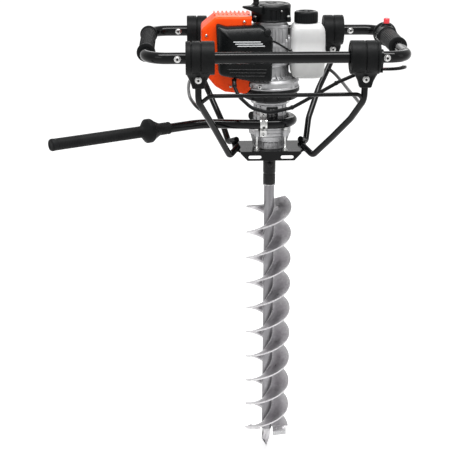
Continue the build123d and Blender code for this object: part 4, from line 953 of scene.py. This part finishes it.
# rope guide
o = len(g.v)
prism(g, [(-28, -57), (-71, -37.6), (-73.6, -35), (-73.6, -30), (-42, -9), (-16, -36)], 352, 370, "XY", 1.2, 2.0, 3.0, 0)
for i in range(o, len(g.v)):
    x, y, z = g.v[i]
    if z < 361:
        g.v[i] = (x, y, z + 13.0 * max(0.0, min(1.0, (-44.0 - x) / 28.0)))
lathe(g, fil([(5.2, 369.2), (9.4, 369.2), (9.0, 371.6), (6.2, 372.0), (5.2, 370.8)], 0.5, 2, True), (-40, -38, 0), (0, 0, 1), None, 40, 0, closed=True)
# painted shade: a near-black disc fills the rope eyelet
lathe(g, [(5.25, 370.4), (0, 370.4)], (-40, -38, 0), (0, 0, 1), None, 40, 1)
# lugs and screws
for a in (-38, 38, 142, 218):
    c, s = math.cos(math.radians(a)), math.sin(math.radians(a))
    lathe(g, fil([(0, 330), (6.4, 330), (6.4, 341.5), (5.4, 342.5), (0, 342.5)], [0, 0.3, 0.5, 0.5, 0], 3), (c * 52.5, s * 52.5, 0), (0, 0, 1), None, 36, 0)
    socket_screw(g, (c * 52.5, s * 52.5, 342.3), (0, 0, 1), 3.9, 3.4, 2, 1)
for a in (-62, -118):
    c, s = math.cos(math.radians(a)), math.sin(math.radians(a))
    socket_screw(g, (c * 49.6, s * 49.6, 366.0 - 8), (c, s, 0), 2.4, 1.6, 2, 1)
make("starter_housing_moulded", g, [M_BPLAST, M_RECESS_SHADE, M_ZINC], "root", ("starter_housing",), 34)

g = Geo()
lathe(g, fil([(0, 373.7), (6.6, 373.7), (8, 375.4), (8, 378), (6.9, 380), (7.4, 386), (9.2, 390), (0, 392)], [0, 0.8, 1, 1, 2, 4, 1, 0], 3), (-40, -38, 0), (0, 0, 1), None, 40, 0)
L = []
for k in range(41):
    u = -1 + 2 * k / 40.0
    x = 37.0 * math.sin(u * math.pi / 2) if abs(u) > 0.8 else 37.0 * u / 0.8 * math.sin(0.8 * math.pi / 2)
    e = math.sqrt(max(0.0, 1 - (abs(x) / 37.0) ** 6))
    wav = 0.9 * math.cos(x / 37.0 * math.pi * 3.2)
    hy = max(0.3, (8.4 + 0.4 * wav) * e)
    hz = max(0.3, (9.0 - 0.3) * e)
    L.append([(-40 + x, -38 + a, 396 + b - (0.9 * (1 - abs(wav)) if b < 0 else 0)) for a, b in rrect(0, 0, hy, hz, min(hy, hz) * 0.75, 6)])
loops(g, L, 0)
for k in (-24, -16, -8, 8, 16, 24):
    sweep(g, [(-40 + k, -38 - 8.3, 391 + 0), (-40 + k, -38 - 8.75, 396), (-40 + k, -38 - 8.3, 401)], 0.8, 8, 0)
    sweep(g, [(-40 + k, -38 + 8.3, 391 + 0), (-40 + k, -38 + 8.75, 396), (-40 + k, -38 + 8.3, 401)], 0.8, 8, 0)
make("starter_handle_moulded", g, [M_GRIP], "pull_handle", ("starter_handle",), 36)

def carved(shells, tools):
    """Each closed shell with the tools taken away from it alone, all in one Geo."""
    out = Geo()
    for sh in shells:
        ob = cutter(sh)
        for c in tools:
            b = ob.modifiers.new("cut", "BOOLEAN")
            b.operation = "DIFFERENCE"
            b.solver = "EXACT"
            b.object = c
        me = bpy.data.meshes.new_from_object(ob.evaluated_get(bpy.context.evaluated_depsgraph_get()))
        n = len(out.v)
        out.v.extend(tuple(v.co / MM) for v in me.vertices)
        for p in me.polygons:
            out.f.append([n + i for i in p.vertices])
            out.m.append(0)
        bpy.data.meshes.remove(me)
        bpy.data.objects.remove(ob)
    for c in tools:
        bpy.data.objects.remove(c)
    return out


# ------------------------------------------------------------------ crankcase
bore1, bore2, bore3 = Geo(), Geo(), Geo()
lathe(bore1, [(0, 238), (30, 238), (30, 304), (0, 304)], (0, 0, 0), (0, 0, 1), None, 64, 0)
lathe(bore2, [(0, 215), (16, 215), (16, 335), (0, 335)], (0, 0, 0), (0, 0, 1), None, 48, 0)
lathe(bore3, [(0, 20), (21, 20), (21, 60), (0, 60)], (0, 0, 276), (-1, 0, 0), None, 64, 0)
shells = []
for hx, hy, r, z0, z1, c0, c1 in ((41.6, 40.6, 15, 222, 322, 1.4, 2.0), (38, 38, 21, 320, 330, 0.6, 1.4), (43.6, 42.6, 16.5, 222, 230, 0.9, 0.9),
                                  (43.6, 42.6, 16.5, 268, 276.5, 0.9, 0.9), (42.8, 41.8, 16.5, 314, 322.5, 0.9, 0.9), (44.1, 43.1, 16.8, 271.9, 272.7, 0.2, 0.2)):
    sh = Geo()
    prism(sh, rrect(0, 0, hx, hy, r, 6), z0, z1, "XY", c0, c1, 0, 0)
    shells.append(sh)
g = carved(shells, (cutter(bore1), cutter(bore2), cutter(bore3)))
for k in range(7):
    for s in (-1, 1):
        xx = -24 + k * 8.6
        box(g, (xx - 1.2, s * 42.2 - 1.6, 231), (xx + 1.2, s * 42.2 + 1.6, 267), 0.7, 0, "XY", 0.9)
        box(g, (xx - 1.2, s * 42.2 - 1.6, 277.5), (xx + 1.2, s * 42.2 + 1.6, 313), 0.7, 0, "XY", 0.9)
for k in range(5):
    yy = 10 + k * 6.2
    box(g, (40.6, yy - 1.1, 278), (44.0, yy + 1.1, 313), 0.7, 0, "XY", 0.9)
    box(g, (40.6, yy - 1.1, 231), (44.0, yy + 1.1, 267), 0.7, 0, "XY", 0.9)
box(g, (41.5, -36, 232), (47.0, 0, 292), 1.4, 0, "YZ", 4)
for sx, sy in ((-1, -1), (1, -1), (1, 1), (-1, 1)):
    for z0, z1 in ((262, 283),):
        lathe(g, fil([(0, z0), (5.6, z0), (5.6, z1), (0, z1)], [0, 0.7, 0.7, 0], 3), (sx * 37.2, sy * 36.2, 0), (0, 0, 1), None, 28, 0)
        socket_screw(g, (sx * 37.2, sy * 36.2, z1 - 0.2), (0, 0, 1), 3.7, 3.6, 2, 3)
make("crankcase_cast", g, [M_CAST, M_CAST_SHADE, M_ZINC, M_RECESS_SHADE], "root", ("crankcase",), 32)

# ------------------------------------------------------------------ fan housing
g = Geo()
scr = lambda r, t, th, k: (r + (0.5 * math.cos(th * 3) if r > 60 else 0), t)
lathe(g, fil([(64.5, 162), (74, 162), (74, 166), (71.4, 167.4), (71.4, 176), (73.2, 177.4), (73.2, 180), (69.5, 186), (56, 188.6), (47.6, 190.5), (46, 196), (46, 215), (48.4, 217), (48.4, 222), (18, 222), (18, 217.5), (40, 217.5), (40, 184.5), (64.5, 181)],
             [0.5, 0.8, 0.8, 1, 1, 0.8, 1.2, 3, 2, 4, 2, 1.5, 0.8, 0.8, 0, 0, 0, 0, 0], 3, True), (0, 0, 0), (0, 0, 1), None, 128, 0, closed=True)
for k in range(24):
    a = math.radians(k * 15)
    c, s = math.cos(a), math.sin(a)
    # ribs from the shoulder up the column
    pts = [(45.0, 190.5), (62.5, 187.6), (60.0, 190.6), (49.6, 194.6), (47.0, 200), (46.8, 213), (45.0, 214)]
    V = []
    for side in (-1.15, 1.15):
        V += [(c * r - s * side, s * r + c * side, z) for r, z in pts]
    n = len(pts)
    F = [list(range(n)), list(range(n, 2 * n))[::-1]] + [[i, (i + 1) % n, n + (i + 1) % n, n + i] for i in range(n)]
    g.add(V, F, 0)
for a in (40, 140, 220, 320):
    c, s = math.cos(math.radians(a)), math.sin(math.radians(a))
    lathe(g, fil([(0, 162), (6.2, 162), (6.2, 178.6), (0, 178.6)], [0, 0.5, 0.7, 0], 3), (c * 68.5, s * 68.5, 0), (0, 0, 1), None, 28, 0)
    socket_screw(g, (c * 68.5, s * 68.5, 178.4), (0, 0, 1), 4.1, 4.0, 1, 2)
socket_screw(g, (-29.5, -64.6, 171.5), (-0.41, -0.91, 0), 5.2, 4.2, 1, 2)
lathe(g, fil([(0, -4), (7.0, -4), (6.6, 0), (0, 0)], [0, 0.3, 0.8, 0], 3), (-29.5, -64.6, 171.5), (-0.41, -0.91, 0), None, 32, 0)
make("fan_housing_cast", g, [M_CAST, M_ZINC, M_RECESS_SHADE], "root", ("fan_housing",), 30)

# ------------------------------------------------------------------ black engine mounting flange
g = Geo()
lathe(g, fil([(34, 126), (50, 126), (56, 129.5), (68, 134), (68, 147.5), (73.4, 151.6), (75, 153.5), (75, 157.0), (73.8, 157.8), (73.8, 158.8), (75, 159.6), (75, 162), (20, 162), (20, 152), (34, 144)],
             [0, 1.0, 3, 1.5, 2.0, 1.0, 0.8, 0.2, 0.2, 0.2, 0.2, 0.5, 0, 0, 0], 3, True), (0, 0, 0), (0, 0, 1), None, 128, 0, closed=True)
for k in range(12):
    a = math.radians(k * 30 + 15)
    c, s = math.cos(a), math.sin(a)
    pts = [(49.5, 128.5), (66.0, 133.6), (70.4, 135.2), (70.6, 147.2), (66.5, 147.8)]
    V = []
    for side in (-1.5, 1.5):
        V += [(c * r - s * side, s * r + c * side, z) for r, z in pts]
    n = len(pts)
    g.add(V, [list(range(n)), list(range(n, 2 * n))[::-1]] + [[i, (i + 1) % n, n + (i + 1) % n, n + i] for i in range(n)], 0)
for a in (45, 135, 225, 315):
    c, s = math.cos(math.radians(a)), math.sin(math.radians(a))
    socket_screw(g, (c * 60, s * 60, 132.2), (0, 0, -1), 4.4, 4.4, 1, 2)
make("mounting_flange_cast", g, [M_BCAST, M_ZINC, M_RECESS_SHADE], "root", ("mounting_flange",), 30)

# ------------------------------------------------------------------ clutch housing with its window
g = Geo()
lathe(g, fil([(14, 57.2), (53.4, 57.2), (54, 57.8), (54, 61.4), (53, 62.2), (43.5, 62.6), (41, 65), (41, 88.5), (42.4, 90), (42.4, 93), (41, 94.5), (41, 117), (44, 119.6), (49, 121), (49, 126), (36.5, 126), (36.5, 68), (14, 68)],
             [0, 0.4, 0.4, 0.5, 0.6, 2, 2, 0.6, 0.5, 0.5, 0.6, 2, 1.6, 0.8, 0.6, 0, 0, 0], 3, True), (0, 0, 0), (0, 0, 1), None, 112, 0, closed=True)
# painted shade: the housing's inner wall and floor are near-black where they show through the windows
lathe(g, [(36.2, 125), (36.2, 69), (15, 69)], (0, 0, 0), (0, 0, 1), None, 64, 1)
c = Geo()
box(c, (-12, -48, 80), (18, -30, 115.5), 0.6, 0, "XZ", 3)
box(c, (-9, 30, 97), (17, 48, 113.5), 0.6, 0, "XZ", 3)
clutch = make("clutch_housing_cast", g, [M_CAST, M_RECESS_SHADE], "root", ("clutch_housing",), 30, cuts=(cutter(c),))
g = Geo()
for k in range(16):
    a = math.radians(k * 22.5 + 4)
    if -0.4 < math.cos(a) < 0.45:
        continue
    cc, s = math.cos(a), math.sin(a)
    pts = [(40.2, 63.2), (50.5, 62.2), (45.6, 69), (43.2, 80), (42.6, 116.5), (40.2, 117.5)]
    V = []
    for side in (-1.2, 1.2):
        V += [(cc * r - s * side, s * r + cc * side, z) for r, z in pts]
    n = len(pts)
    g.add(V, [list(range(n)), list(range(n, 2 * n))[::-1]] + [[i, (i + 1) % n, n + (i + 1) % n, n + i] for i in range(n)], 0)
make("clutch_housing_ribs", g, [M_CAST], "root", (), 30)

# ------------------------------------------------------------------ gearbox bell
g = Geo()
lathe(g, fil([(16, 4), (42, 4), (42.6, 5), (42.6, 8.4), (41.2, 9.6), (41.4, 21), (44.8, 23.2), (47, 24.6), (49.2, 36.6), (51, 39.4), (54, 41.4), (54, 48.2), (53.1, 48.8), (53.1, 49.8), (54, 50.4), (54, 57), (49.2, 57), (49.2, 42), (38, 42), (38, 21), (21, 21), (21, 8), (16, 8)],
             [0, 0.5, 0.5, 0.6, 0.8, 1.5, 1.5, 1.5, 1.5, 1.2, 0.8, 0.2, 0.2, 0.2, 0.2, 0.5, 0, 0, 0, 0, 0, 0, 0], 3, True), (0, 0, 0), (0, 0, 1), None, 128, 0, closed=True)
for k in range(20):
    a = math.radians(k * 18 + 9)
    c, s = math.cos(a), math.sin(a)
    pts = [(40.4, 10.0), (44.2, 10.0), (46.0, 21.5), (50.6, 37.4), (48, 38.6), (44, 24)]
    V = []
    for side in (-1.1, 1.1):
        V += [(c * r - s * side, s * r + c * side, z) for r, z in pts]
    n = len(pts)
    g.add(V, [list(range(n)), list(range(n, 2 * n))[::-1]] + [[i, (i + 1) % n, n + (i + 1) % n, n + i] for i in range(n)], 0)
for sx in (-1, 1):
    for sy in (-1, 1):
        lathe(g, fil([(3.2, 41.5), (7.2, 41.5), (7.2, 57), (3.2, 57)], [0, 0.7, 0.4, 0], 3, True), (sx * 36, sy * 50, 0), (0, 0, 1), None, 32, 0, closed=True)
        prism(g, fil([(sx * 32, sy * 36), (sx * 27, sy * 44), (sx * 36, sy * 57), (sx * 43, sy * 50), (sx * 40, sy * 34)], 3, 3, True), 43, 56.6, "XY", 0.8, 0.4, 0, 0)
make("gearbox_bell_cast", g, [M_CAST], "root", ("gearbox_housing",), 30)

# studs, nuts and washers that hold the drive train to the plate
g = Geo()
for sx in (-1, 1):
    for sy in (-1, 1):
        at = (sx * 36, sy * 50, 0)
        prof = [(0, 4.02), (2.95, 4.02)]
        z = 11.0
        while z < 20:
            prof += [(2.95, z), (2.5, z + 0.5), (2.95, z + 1.0)]
            z += 1.0
        prof += [(2.7, 20.5), (2.7, 40.5), (2.95, 41)]
        prof += [(2.95, 66.2), (2.3, 67), (0, 67)]
        lathe(g, prof, at, (0, 0, 1), None, 24, 0)
        washer(g, (at[0], at[1], 4.02), (0, 0, 1), 7.4, 1.2, 0)
        hex_nut(g, (at[0], at[1], 5.2), (0, 0, 1), 5.8, 5.2, 0)
        washer(g, (at[0], at[1], 57.0), (0, 0, 1), 5.9, 1.0, 0)
        hex_nut(g, (at[0], at[1], 58.0), (0, 0, 1), 5.5, 5.4, 0)
make("gearbox_studs_threaded", g, [M_ZINC], "root", ("gearbox_studs",), 30)

# ------------------------------------------------------------------ coupling sleeve with its pin
g = Geo()
lathe(g, fil([(10.05, -8), (15.2, -8), (16.5, -9.6), (16.5, -33), (16.0, -34), (16.0, -36), (16.5, -37), (16.5, -66), (15.4, -67.4), (15.4, -70), (16.2, -71.4), (16.2, -94.5), (14.6, -98), (13.55, -98), (13.55, -78), (10.05, -78)],
             [0, 1, 1.2, 0.3, 0.3, 0.3, 0.3, 0.5, 0.5, 0.5, 0.5, 1, 0.6, 0, 0, 0], 3, True), (0, 0, 0), (0, 0, 1), None, 72, 0, closed=True)
bead(g, [(15.0 * math.cos(math.radians(k * 6)), 15.0 * math.sin(math.radians(k * 6)), -98.6) for k in range(61)], 1.7, 1, 2)
make("coupling_sleeve_turned", g, [M_BSTEEL, M_GALV], "auger", ("coupling_sleeve",), 30)
g = Geo()
lathe(g, fil([(0, -23), (4.4, -23), (6, -22), (6, -20.2), (3.95, -20.0), (3.95, 21.4), (3.2, 22), (0, 22)], [0, 0.6, 0.4, 0.2, 0, 0.3, 0.3, 0], 2), (0, 0, -42), (0, 1, 0), None, 36, 0)
ring = [(2.0 + 0.0, 18.6 + 0.0, -42 + 7.6)]
P = []
for k in range(41):
    w = 2 * math.pi * k / 40
    P.append((5.2 * math.sin(w) * 0.9, 19.4, -47.6 + 7.0 * math.cos(w)))
sweep(g, P, 0.75, 8, 0, caps=False)
make("coupling_pin_ring", g, [M_BSTEEL], "auger", ("coupling_pin",), 34)

# ------------------------------------------------------------------ welds along the flights, cutters and point
LEAD, FB = 143.0, -803.5
g = Geo()
for phase, h in ((180.0, 659.8), (0.0, 647.5)):
    for off in (2.4, -2.4):
        P = []
        n = int(h / 1.9)
        for k in range(n + 1):
            z = FB + 3 + (h - 6) * k / n
            a = math.radians(phase) + 2 * math.pi * (z - FB) / LEAD
            P.append((14.1 * math.cos(a), 14.1 * math.sin(a), z + off))
        out = [Vector(p) for p in P]
        rf = lambda i, p: 1.55 * (1 + 0.18 * math.sin(i * 1.7) + 0.15 * noise.noise(Vector(p) * 0.5))
        sweep(g, out, 1.5, 8, 0, rf)
make("flight_welds", g, [M_GALV], "auger", (), 50)

g = Geo()
rake = math.radians(38)
for s in (1, -1):
    d = Vector((0, -s * math.cos(rake), -math.sin(rake)))
    nn = Vector((0, -s * math.sin(rake), math.cos(rake)))
    o = Vector((s * 34.5, 0, FB)) + d * 0.5
    ex = Vector((s, 0, 0))
    # plate with a ground bevel at its leading edge; u outward, v along the rake
    def pt(u, v, w):
        return tuple(o + ex * u + d * v + nn * w)
    prof = [(-2.5, 0.0), (2.5, 0.0), (2.5, 17.0), (-1.9, 27.2), (-2.5, 26.6)]
    V = []
    for u, k in ((-17.6, 1.0), (-17.2, 1.0), (18.6, 0.86), (19.0, 0.855)):
        e = 0.0 if u in (-17.2, 18.6) else 0.35
        V += [pt(u, v * (k if v > 1 else 1) + (e if v < 1 else -e), w * (1 - e * 0.25)) for w, v in prof]
    F, n = [], len(prof)
    for r in range(3):
        for i in range(n):
            F.append([r * n + i, r * n + (i + 1) % n, (r + 1) * n + (i + 1) % n, (r + 1) * n + i])
    F += [list(range(n))[::-1], [3 * n + i for i in range(n)]]
    base = len(g.m)
    g.add(V, F, 0)
    for r in range(3):
        g.m[base + r * n + 2] = 1
    for u in (-7.5, 8.5):
        c = o + ex * u + d * 8.5 + nn * 2.4
        hex_nut(g, tuple(c), tuple(nn), 5.2, 3.0, 0)
        lathe(g, fil([(2.9, 0), (2.9, 4.2), (2.3, 4.8), (0, 4.8)], 0.2, 1), tuple(c), tuple(nn), None, 24, 0)
        c = o + ex * u + d * 8.5 - nn * 2.4
        lathe(g, fil([(5.2, 0), (4.6, 1.5), (2.6, 2.5), (0, 2.6)], [0, 0.6, 0.6, 0], 3), tuple(c), tuple(-nn), None, 28, 0)
    bead(g, [pt(-16.5 + k * 3.3, -0.2, 2.6) for k in range(11)], 1.5, 0, 1)
make("cutter_blades_ground", g, [M_GALV, M_EDGE], "auger", ("cutter_blades",), 26)

g = Geo()
out = fil([(-11, -806), (-9, -821), (-13, -840), (-6.5, -843), (0, -862), (7.5, -838), (10, -824), (11, -806)], [0.5, 2, 0.8, 1.0, 0.3, 1.0, 2, 0.5], 3, True)
prism(g, out, -3.5, 3.5, "XZ", 0.8, 0.8, 0, 0)
lathe(g, fil([(0, -810.5), (11.6, -810.5), (13.5, -808.0), (13.5, -805.8), (0, -805.8)], [0, 1, 1, 0, 0], 3), (0, 0, 0), (0, 0, 1), None, 48, 0)
bead(g, [(-10.5 + k * 2.1, -4.2, -809.6) for k in range(11)], 1.3, 0, 3)
bead(g, [(-10.5 + k * 2.1, 4.2, -809.6) for k in range(11)], 1.3, 0, 4)
make("pilot_point_forged", g, [M_GALV], "auger", ("pilot_point",), 26)

# ------------------------------------------------------------------ muffler at the back
g = Geo()
mo = rrect(-84, 262, 50.6, 46.6, 12, 6)
prism(g, mo, 58.6, 96.2, "XZ", 1.0, 7.0, 0, 0, crown=1.6)
prism(g, rrect(-84, 262, 52, 48, 13, 6), 74.0, 76.4, "XZ", 0.6, 0.6, 0, 0)
for z in (282, 270, 258):
    prism(g, rrect(-88, z, 30, 2.8, 2.7, 4), 95.5, 98.6, "XZ", 0, 1.2, 0, 0)
for x, z in ((-128, 300), (-40, 300), (-128, 224)):
    washer(g, (x, 89.5, z), (0, 1, 0), 6.4, 1.2, 1)
    hex_nut(g, (x, 90.5, z), (0, 1, 0), 5.6, 4.2, 1)
lathe(g, fil([(5.6, -2), (7.4, -2), (7.4, 7.4), (6.6, 8.0), (5.6, 8.0)], 0.4, 2, True), (-58, 96, 234), (0, 1, 0), None, 48, 0, closed=True)
# painted shade: a near-black disc inside the outlet
lathe(g, [(5.7, 4.5), (0, 4.5)], (-58, 96, 234), (0, 1, 0), None, 48, 2)
# slotted guard in front of it
for k in range(9):
    xx = -126 + k * 10.5
    sweep(g, [(xx, 98.4, 306.5), (xx, 101.8, 300), (xx, 101.8, 292)], 1.1, 8, 3)
sweep(g, [(-132, 99, 306), (-36, 99, 306)], 1.5, 8, 3)
sweep(g, [(-132, 101.8, 292), (-36, 101.8, 292)], 1.5, 8, 3)
make("muffler_pressed", g, [M_MUFF, M_ZINC, M_RECESS_SHADE, M_BCAST], "root", ("muffler",), 30)

# ------------------------------------------------------------------ welds of the frame, tube end plugs
g = Geo()
for (x0, y0, z0), (x1, y1, z1) in (((-106, -70, -4), (-84, -38, 12.05)), ((106, -70, -4), (84, -38, 12.05)), ((-104, 70, -2), (-84, 38, 12.05)), ((101, 68, -2), (84, 38, 12.05))):
    d = Vector((x1 - x0, y1 - y0, 0)).normalized()
    nx = Vector((-d.y, d.x, 0))
    e = Vector((x1, y1, 0))
    for s in (-1, 1):
        a = e - d * 0.5 + nx * s * 3.0
        b = e - d * 7.5 + nx * s * 7.4
        c2_ = e - d * 22 + nx * s * 8.6
        bead(g, [tuple(a + Vector((0, 0, 4.6))), tuple(b + Vector((0, 0, 4.6))), tuple(c2_ + Vector((0, 0, 4.2)))], 1.9, 0, s)
    # plug in the open end
    t = Vector((x1 - x0, y1 - y0, z1 - z0)).normalized()
    lathe(g, fil([(6.0, -2), (7.9, -0.1), (7.6, 1.2), (0, 1.6)], [0, 0.4, 0.8, 0], 3), (x1, y1, z1), tuple(t), None, 40, 1)
# rails on the arms
for p, ax in (((-186.6, -209.5, 161.8), (0.82, -0.5, 0.7)), ((209.6, -206.2, 169.0), (-0.6, -0.8, 0.7)), ((-184.5, -203.2, 154.0), (-0.3, 0.95, 0)), ((205.6, -200.0, 153.0), (0.1, 1, 0)),
              ((-177.6, 202.6, 158.2), (-0.3, -0.95, 0)), ((171.4, 198.8, 170.0), (0.2, -1, -0.15))):
    x, y, z = basis(ax)
    P = [tuple(Vector(p) + x * (5.0 * math.cos(w * math.pi / 12)) + y * (5.0 * math.sin(w * math.pi / 12)) - z * 1.0) for w in range(25)]
    bead(g, P, 1.5, 0, 2)
make("frame_welds", g, [M_PAINT, M_BPLAST], "root", (), 50)
g = Geo()
for x, y, s in ((211, -BAR_Y, -1), (-184, -BAR_Y, 1), (186, BAR_Y, -1), (-186, BAR_Y, 1)):
    lathe(g, fil([(10.5, -4), (11.9, -0.4), (11.4, 0.6), (0, 0.8)], 0.3, 2), (x, y, BAR_Z), (s, 0, 0), None, 32, 0)
lathe(g, fil([(8.8, 0), (8.8, -0.2), (0, -0.6)], 0.1, 2), (-44.43 + 0, 37.28 + 0, 76), (-0.643, -0.766, 0), None, 32, 0)
make("tube_plugs", g, [M_BPLAST], "root", (), 40)

# ------------------------------------------------------------------ rails and reaction bar as bent tubes
def flowing(pts, n=14):
    """A smooth line through the points."""
    P = [Vector(q) for q in pts]
    P = [P[0] * 2 - P[1]] + P + [P[-1] * 2 - P[-2]]
    out = []
    for i in range(1, len(P) - 2):
        for k in range(n):
            t = k / n
            a, b, c, d = P[i - 1], P[i], P[i + 1], P[i + 2]
            out.append(0.5 * ((2 * b) + (c - a) * t + (2 * a - 5 * b + 4 * c - d) * t * t + (3 * b - a - 3 * c + d) * t ** 3))
    return [tuple(q) for q in out + [P[-2]]]


g = Geo()
sweep(g, flowing([(-172.8, -187, 137), (-187, -168, 142), (-199, -132, 148), (-207, -70, 151), (-209, 40, 153), (-202, 130, 156), (-177, 203, 158)]), 4.4, 20, 0)
sweep(g, flowing([(204.5, -200, 152), (209, -162, 147), (209, -90, 146), (203.5, 0, 148), (196, 90, 154), (184.5, 160, 163), (171.5, 199, 170)]), 4.4, 20, 0)
make("side_rails_bent", g, [M_PAINT], "root", ("side_rails",), 50)

g = Geo()
ring = [(58 * math.cos(math.radians(140 - 4.5 * k)), 58 * math.sin(math.radians(140 - 4.5 * k))) for k in range(51)]
ex, ey = ring[-1]
tx, ty = math.sin(math.radians(-85)), -math.cos(math.radians(-85))
run = fil([(ex, ey), (ex + tx * 34, ey + ty * 34), (-176, -44), (-532, -261.5)], [0, 90, 110, 0], 14)
sweep(g, [(x, y, 74.9) for x, y in ring + run[1:]], 12.0, 40, 0)
make("reaction_bar_bent", g, [M_PAINT], "root", ("reaction_bar",), 50)

# ------------------------------------------------------------------ cable ends, clips and throttle linkage
g = Geo()
lathe(g, fil([(4.6, 0), (6.4, 0.6), (6.4, 9), (5.2, 11), (5.2, 16), (4.6, 17)], 0.5, 2), (249, -203.0, 243), (0, 1, -0.02), None, 32, 0)
hex_nut(g, (249, -200.5, 243), (0, 1, 0), 7.4, 4.0, 1, bore=4.7)
hex_nut(g, (-96, -86.2, 192.0), (0, 0.68, 0.73), 7.2, 4.0, 0, bore=4.7)
lathe(g, fil([(4.6, 0), (6.2, 0.4), (5.2, 13), (4.6, 14)], 0.5, 2), (-96, -98.5, 180), (0, 0.62, 0.78), None, 32, 0)
for p, ax in (((44, -146.8, 137.0), (1, 0, 0.37)), ((150, -156.2, 198.6), (1, 0, 0.62))):
    x, y, z = basis(ax)
    prof = fil([(4.6, -3), (5.7, -3), (5.7, 3), (4.6, 3)], 0.4, 2, True)
    lathe(g, prof, p, ax, None, 28, 0, closed=True)
make("cable_ends", g, [M_BPLAST, M_ZINC], "root", (), 34)

# ------------------------------------------------------------------ floor and lights
def area(name, loc, target, sx, sy, power, color=(1, 1, 1)):
    ld = bpy.data.lights.new(name, "AREA")
    ld.shape = "RECTANGLE"
    ld.size, ld.size_y, ld.energy, ld.color = sx, sy, power, color
    o = bpy.data.objects.new(name, ld)
    o.location = loc
    o.rotation_mode = "QUATERNION"
    o.rotation_quaternion = (Vector(target) - Vector(loc)).to_track_quat("-Z", "Y")
    scene.collection.objects.link(o)
    return o


area("key_overhead", (0.0, -0.5, 1.78), (0.0, -0.1, 0.2), 1.9, 0.6, 64)
area("fill_front_left", (-2.3, -2.6, 1.6), (0, 0, 0.0), 1.6, 1.6, 16)
area("fill_right", (2.6, -1.2, 1.0), (0, 0, 0.0), 1.0, 1.8, 6)
area("rim_back", (0.4, 2.6, 1.4), (0, 0, 0.1), 2.2, 1.0, 14)

world = bpy.data.worlds.new("studio")
scene.world = world
world.use_nodes = True
world.node_tree.nodes["Background"].inputs["Color"].default_value = (1, 1, 1, 1)
world.node_tree.nodes["Background"].inputs["Strength"].default_value = 0.82

me = bpy.data.meshes.new("floor")
me.from_pydata([(-60, -60, -0.8628), (60, -60, -0.8628), (60, 60, -0.8628), (-60, 60, -0.8628)], [], [[0, 1, 2, 3]])
floor = bpy.data.objects.new("floor", me)
fm = Mat("floor_pale", (0.93, 0.93, 0.93, 1), 0.9, spec=0.1)
fm.colour(fm.mix(fm.noise(0.6, 3), (0.93, 0.93, 0.93, 1), (0.95, 0.95, 0.95, 1)))
fm.b.inputs["Emission Color"].default_value = (1, 1, 1, 1)
fm.b.inputs["Emission Strength"].default_value = 0.3
me.materials.append(fm.m)
scene.collection.objects.link(floor)
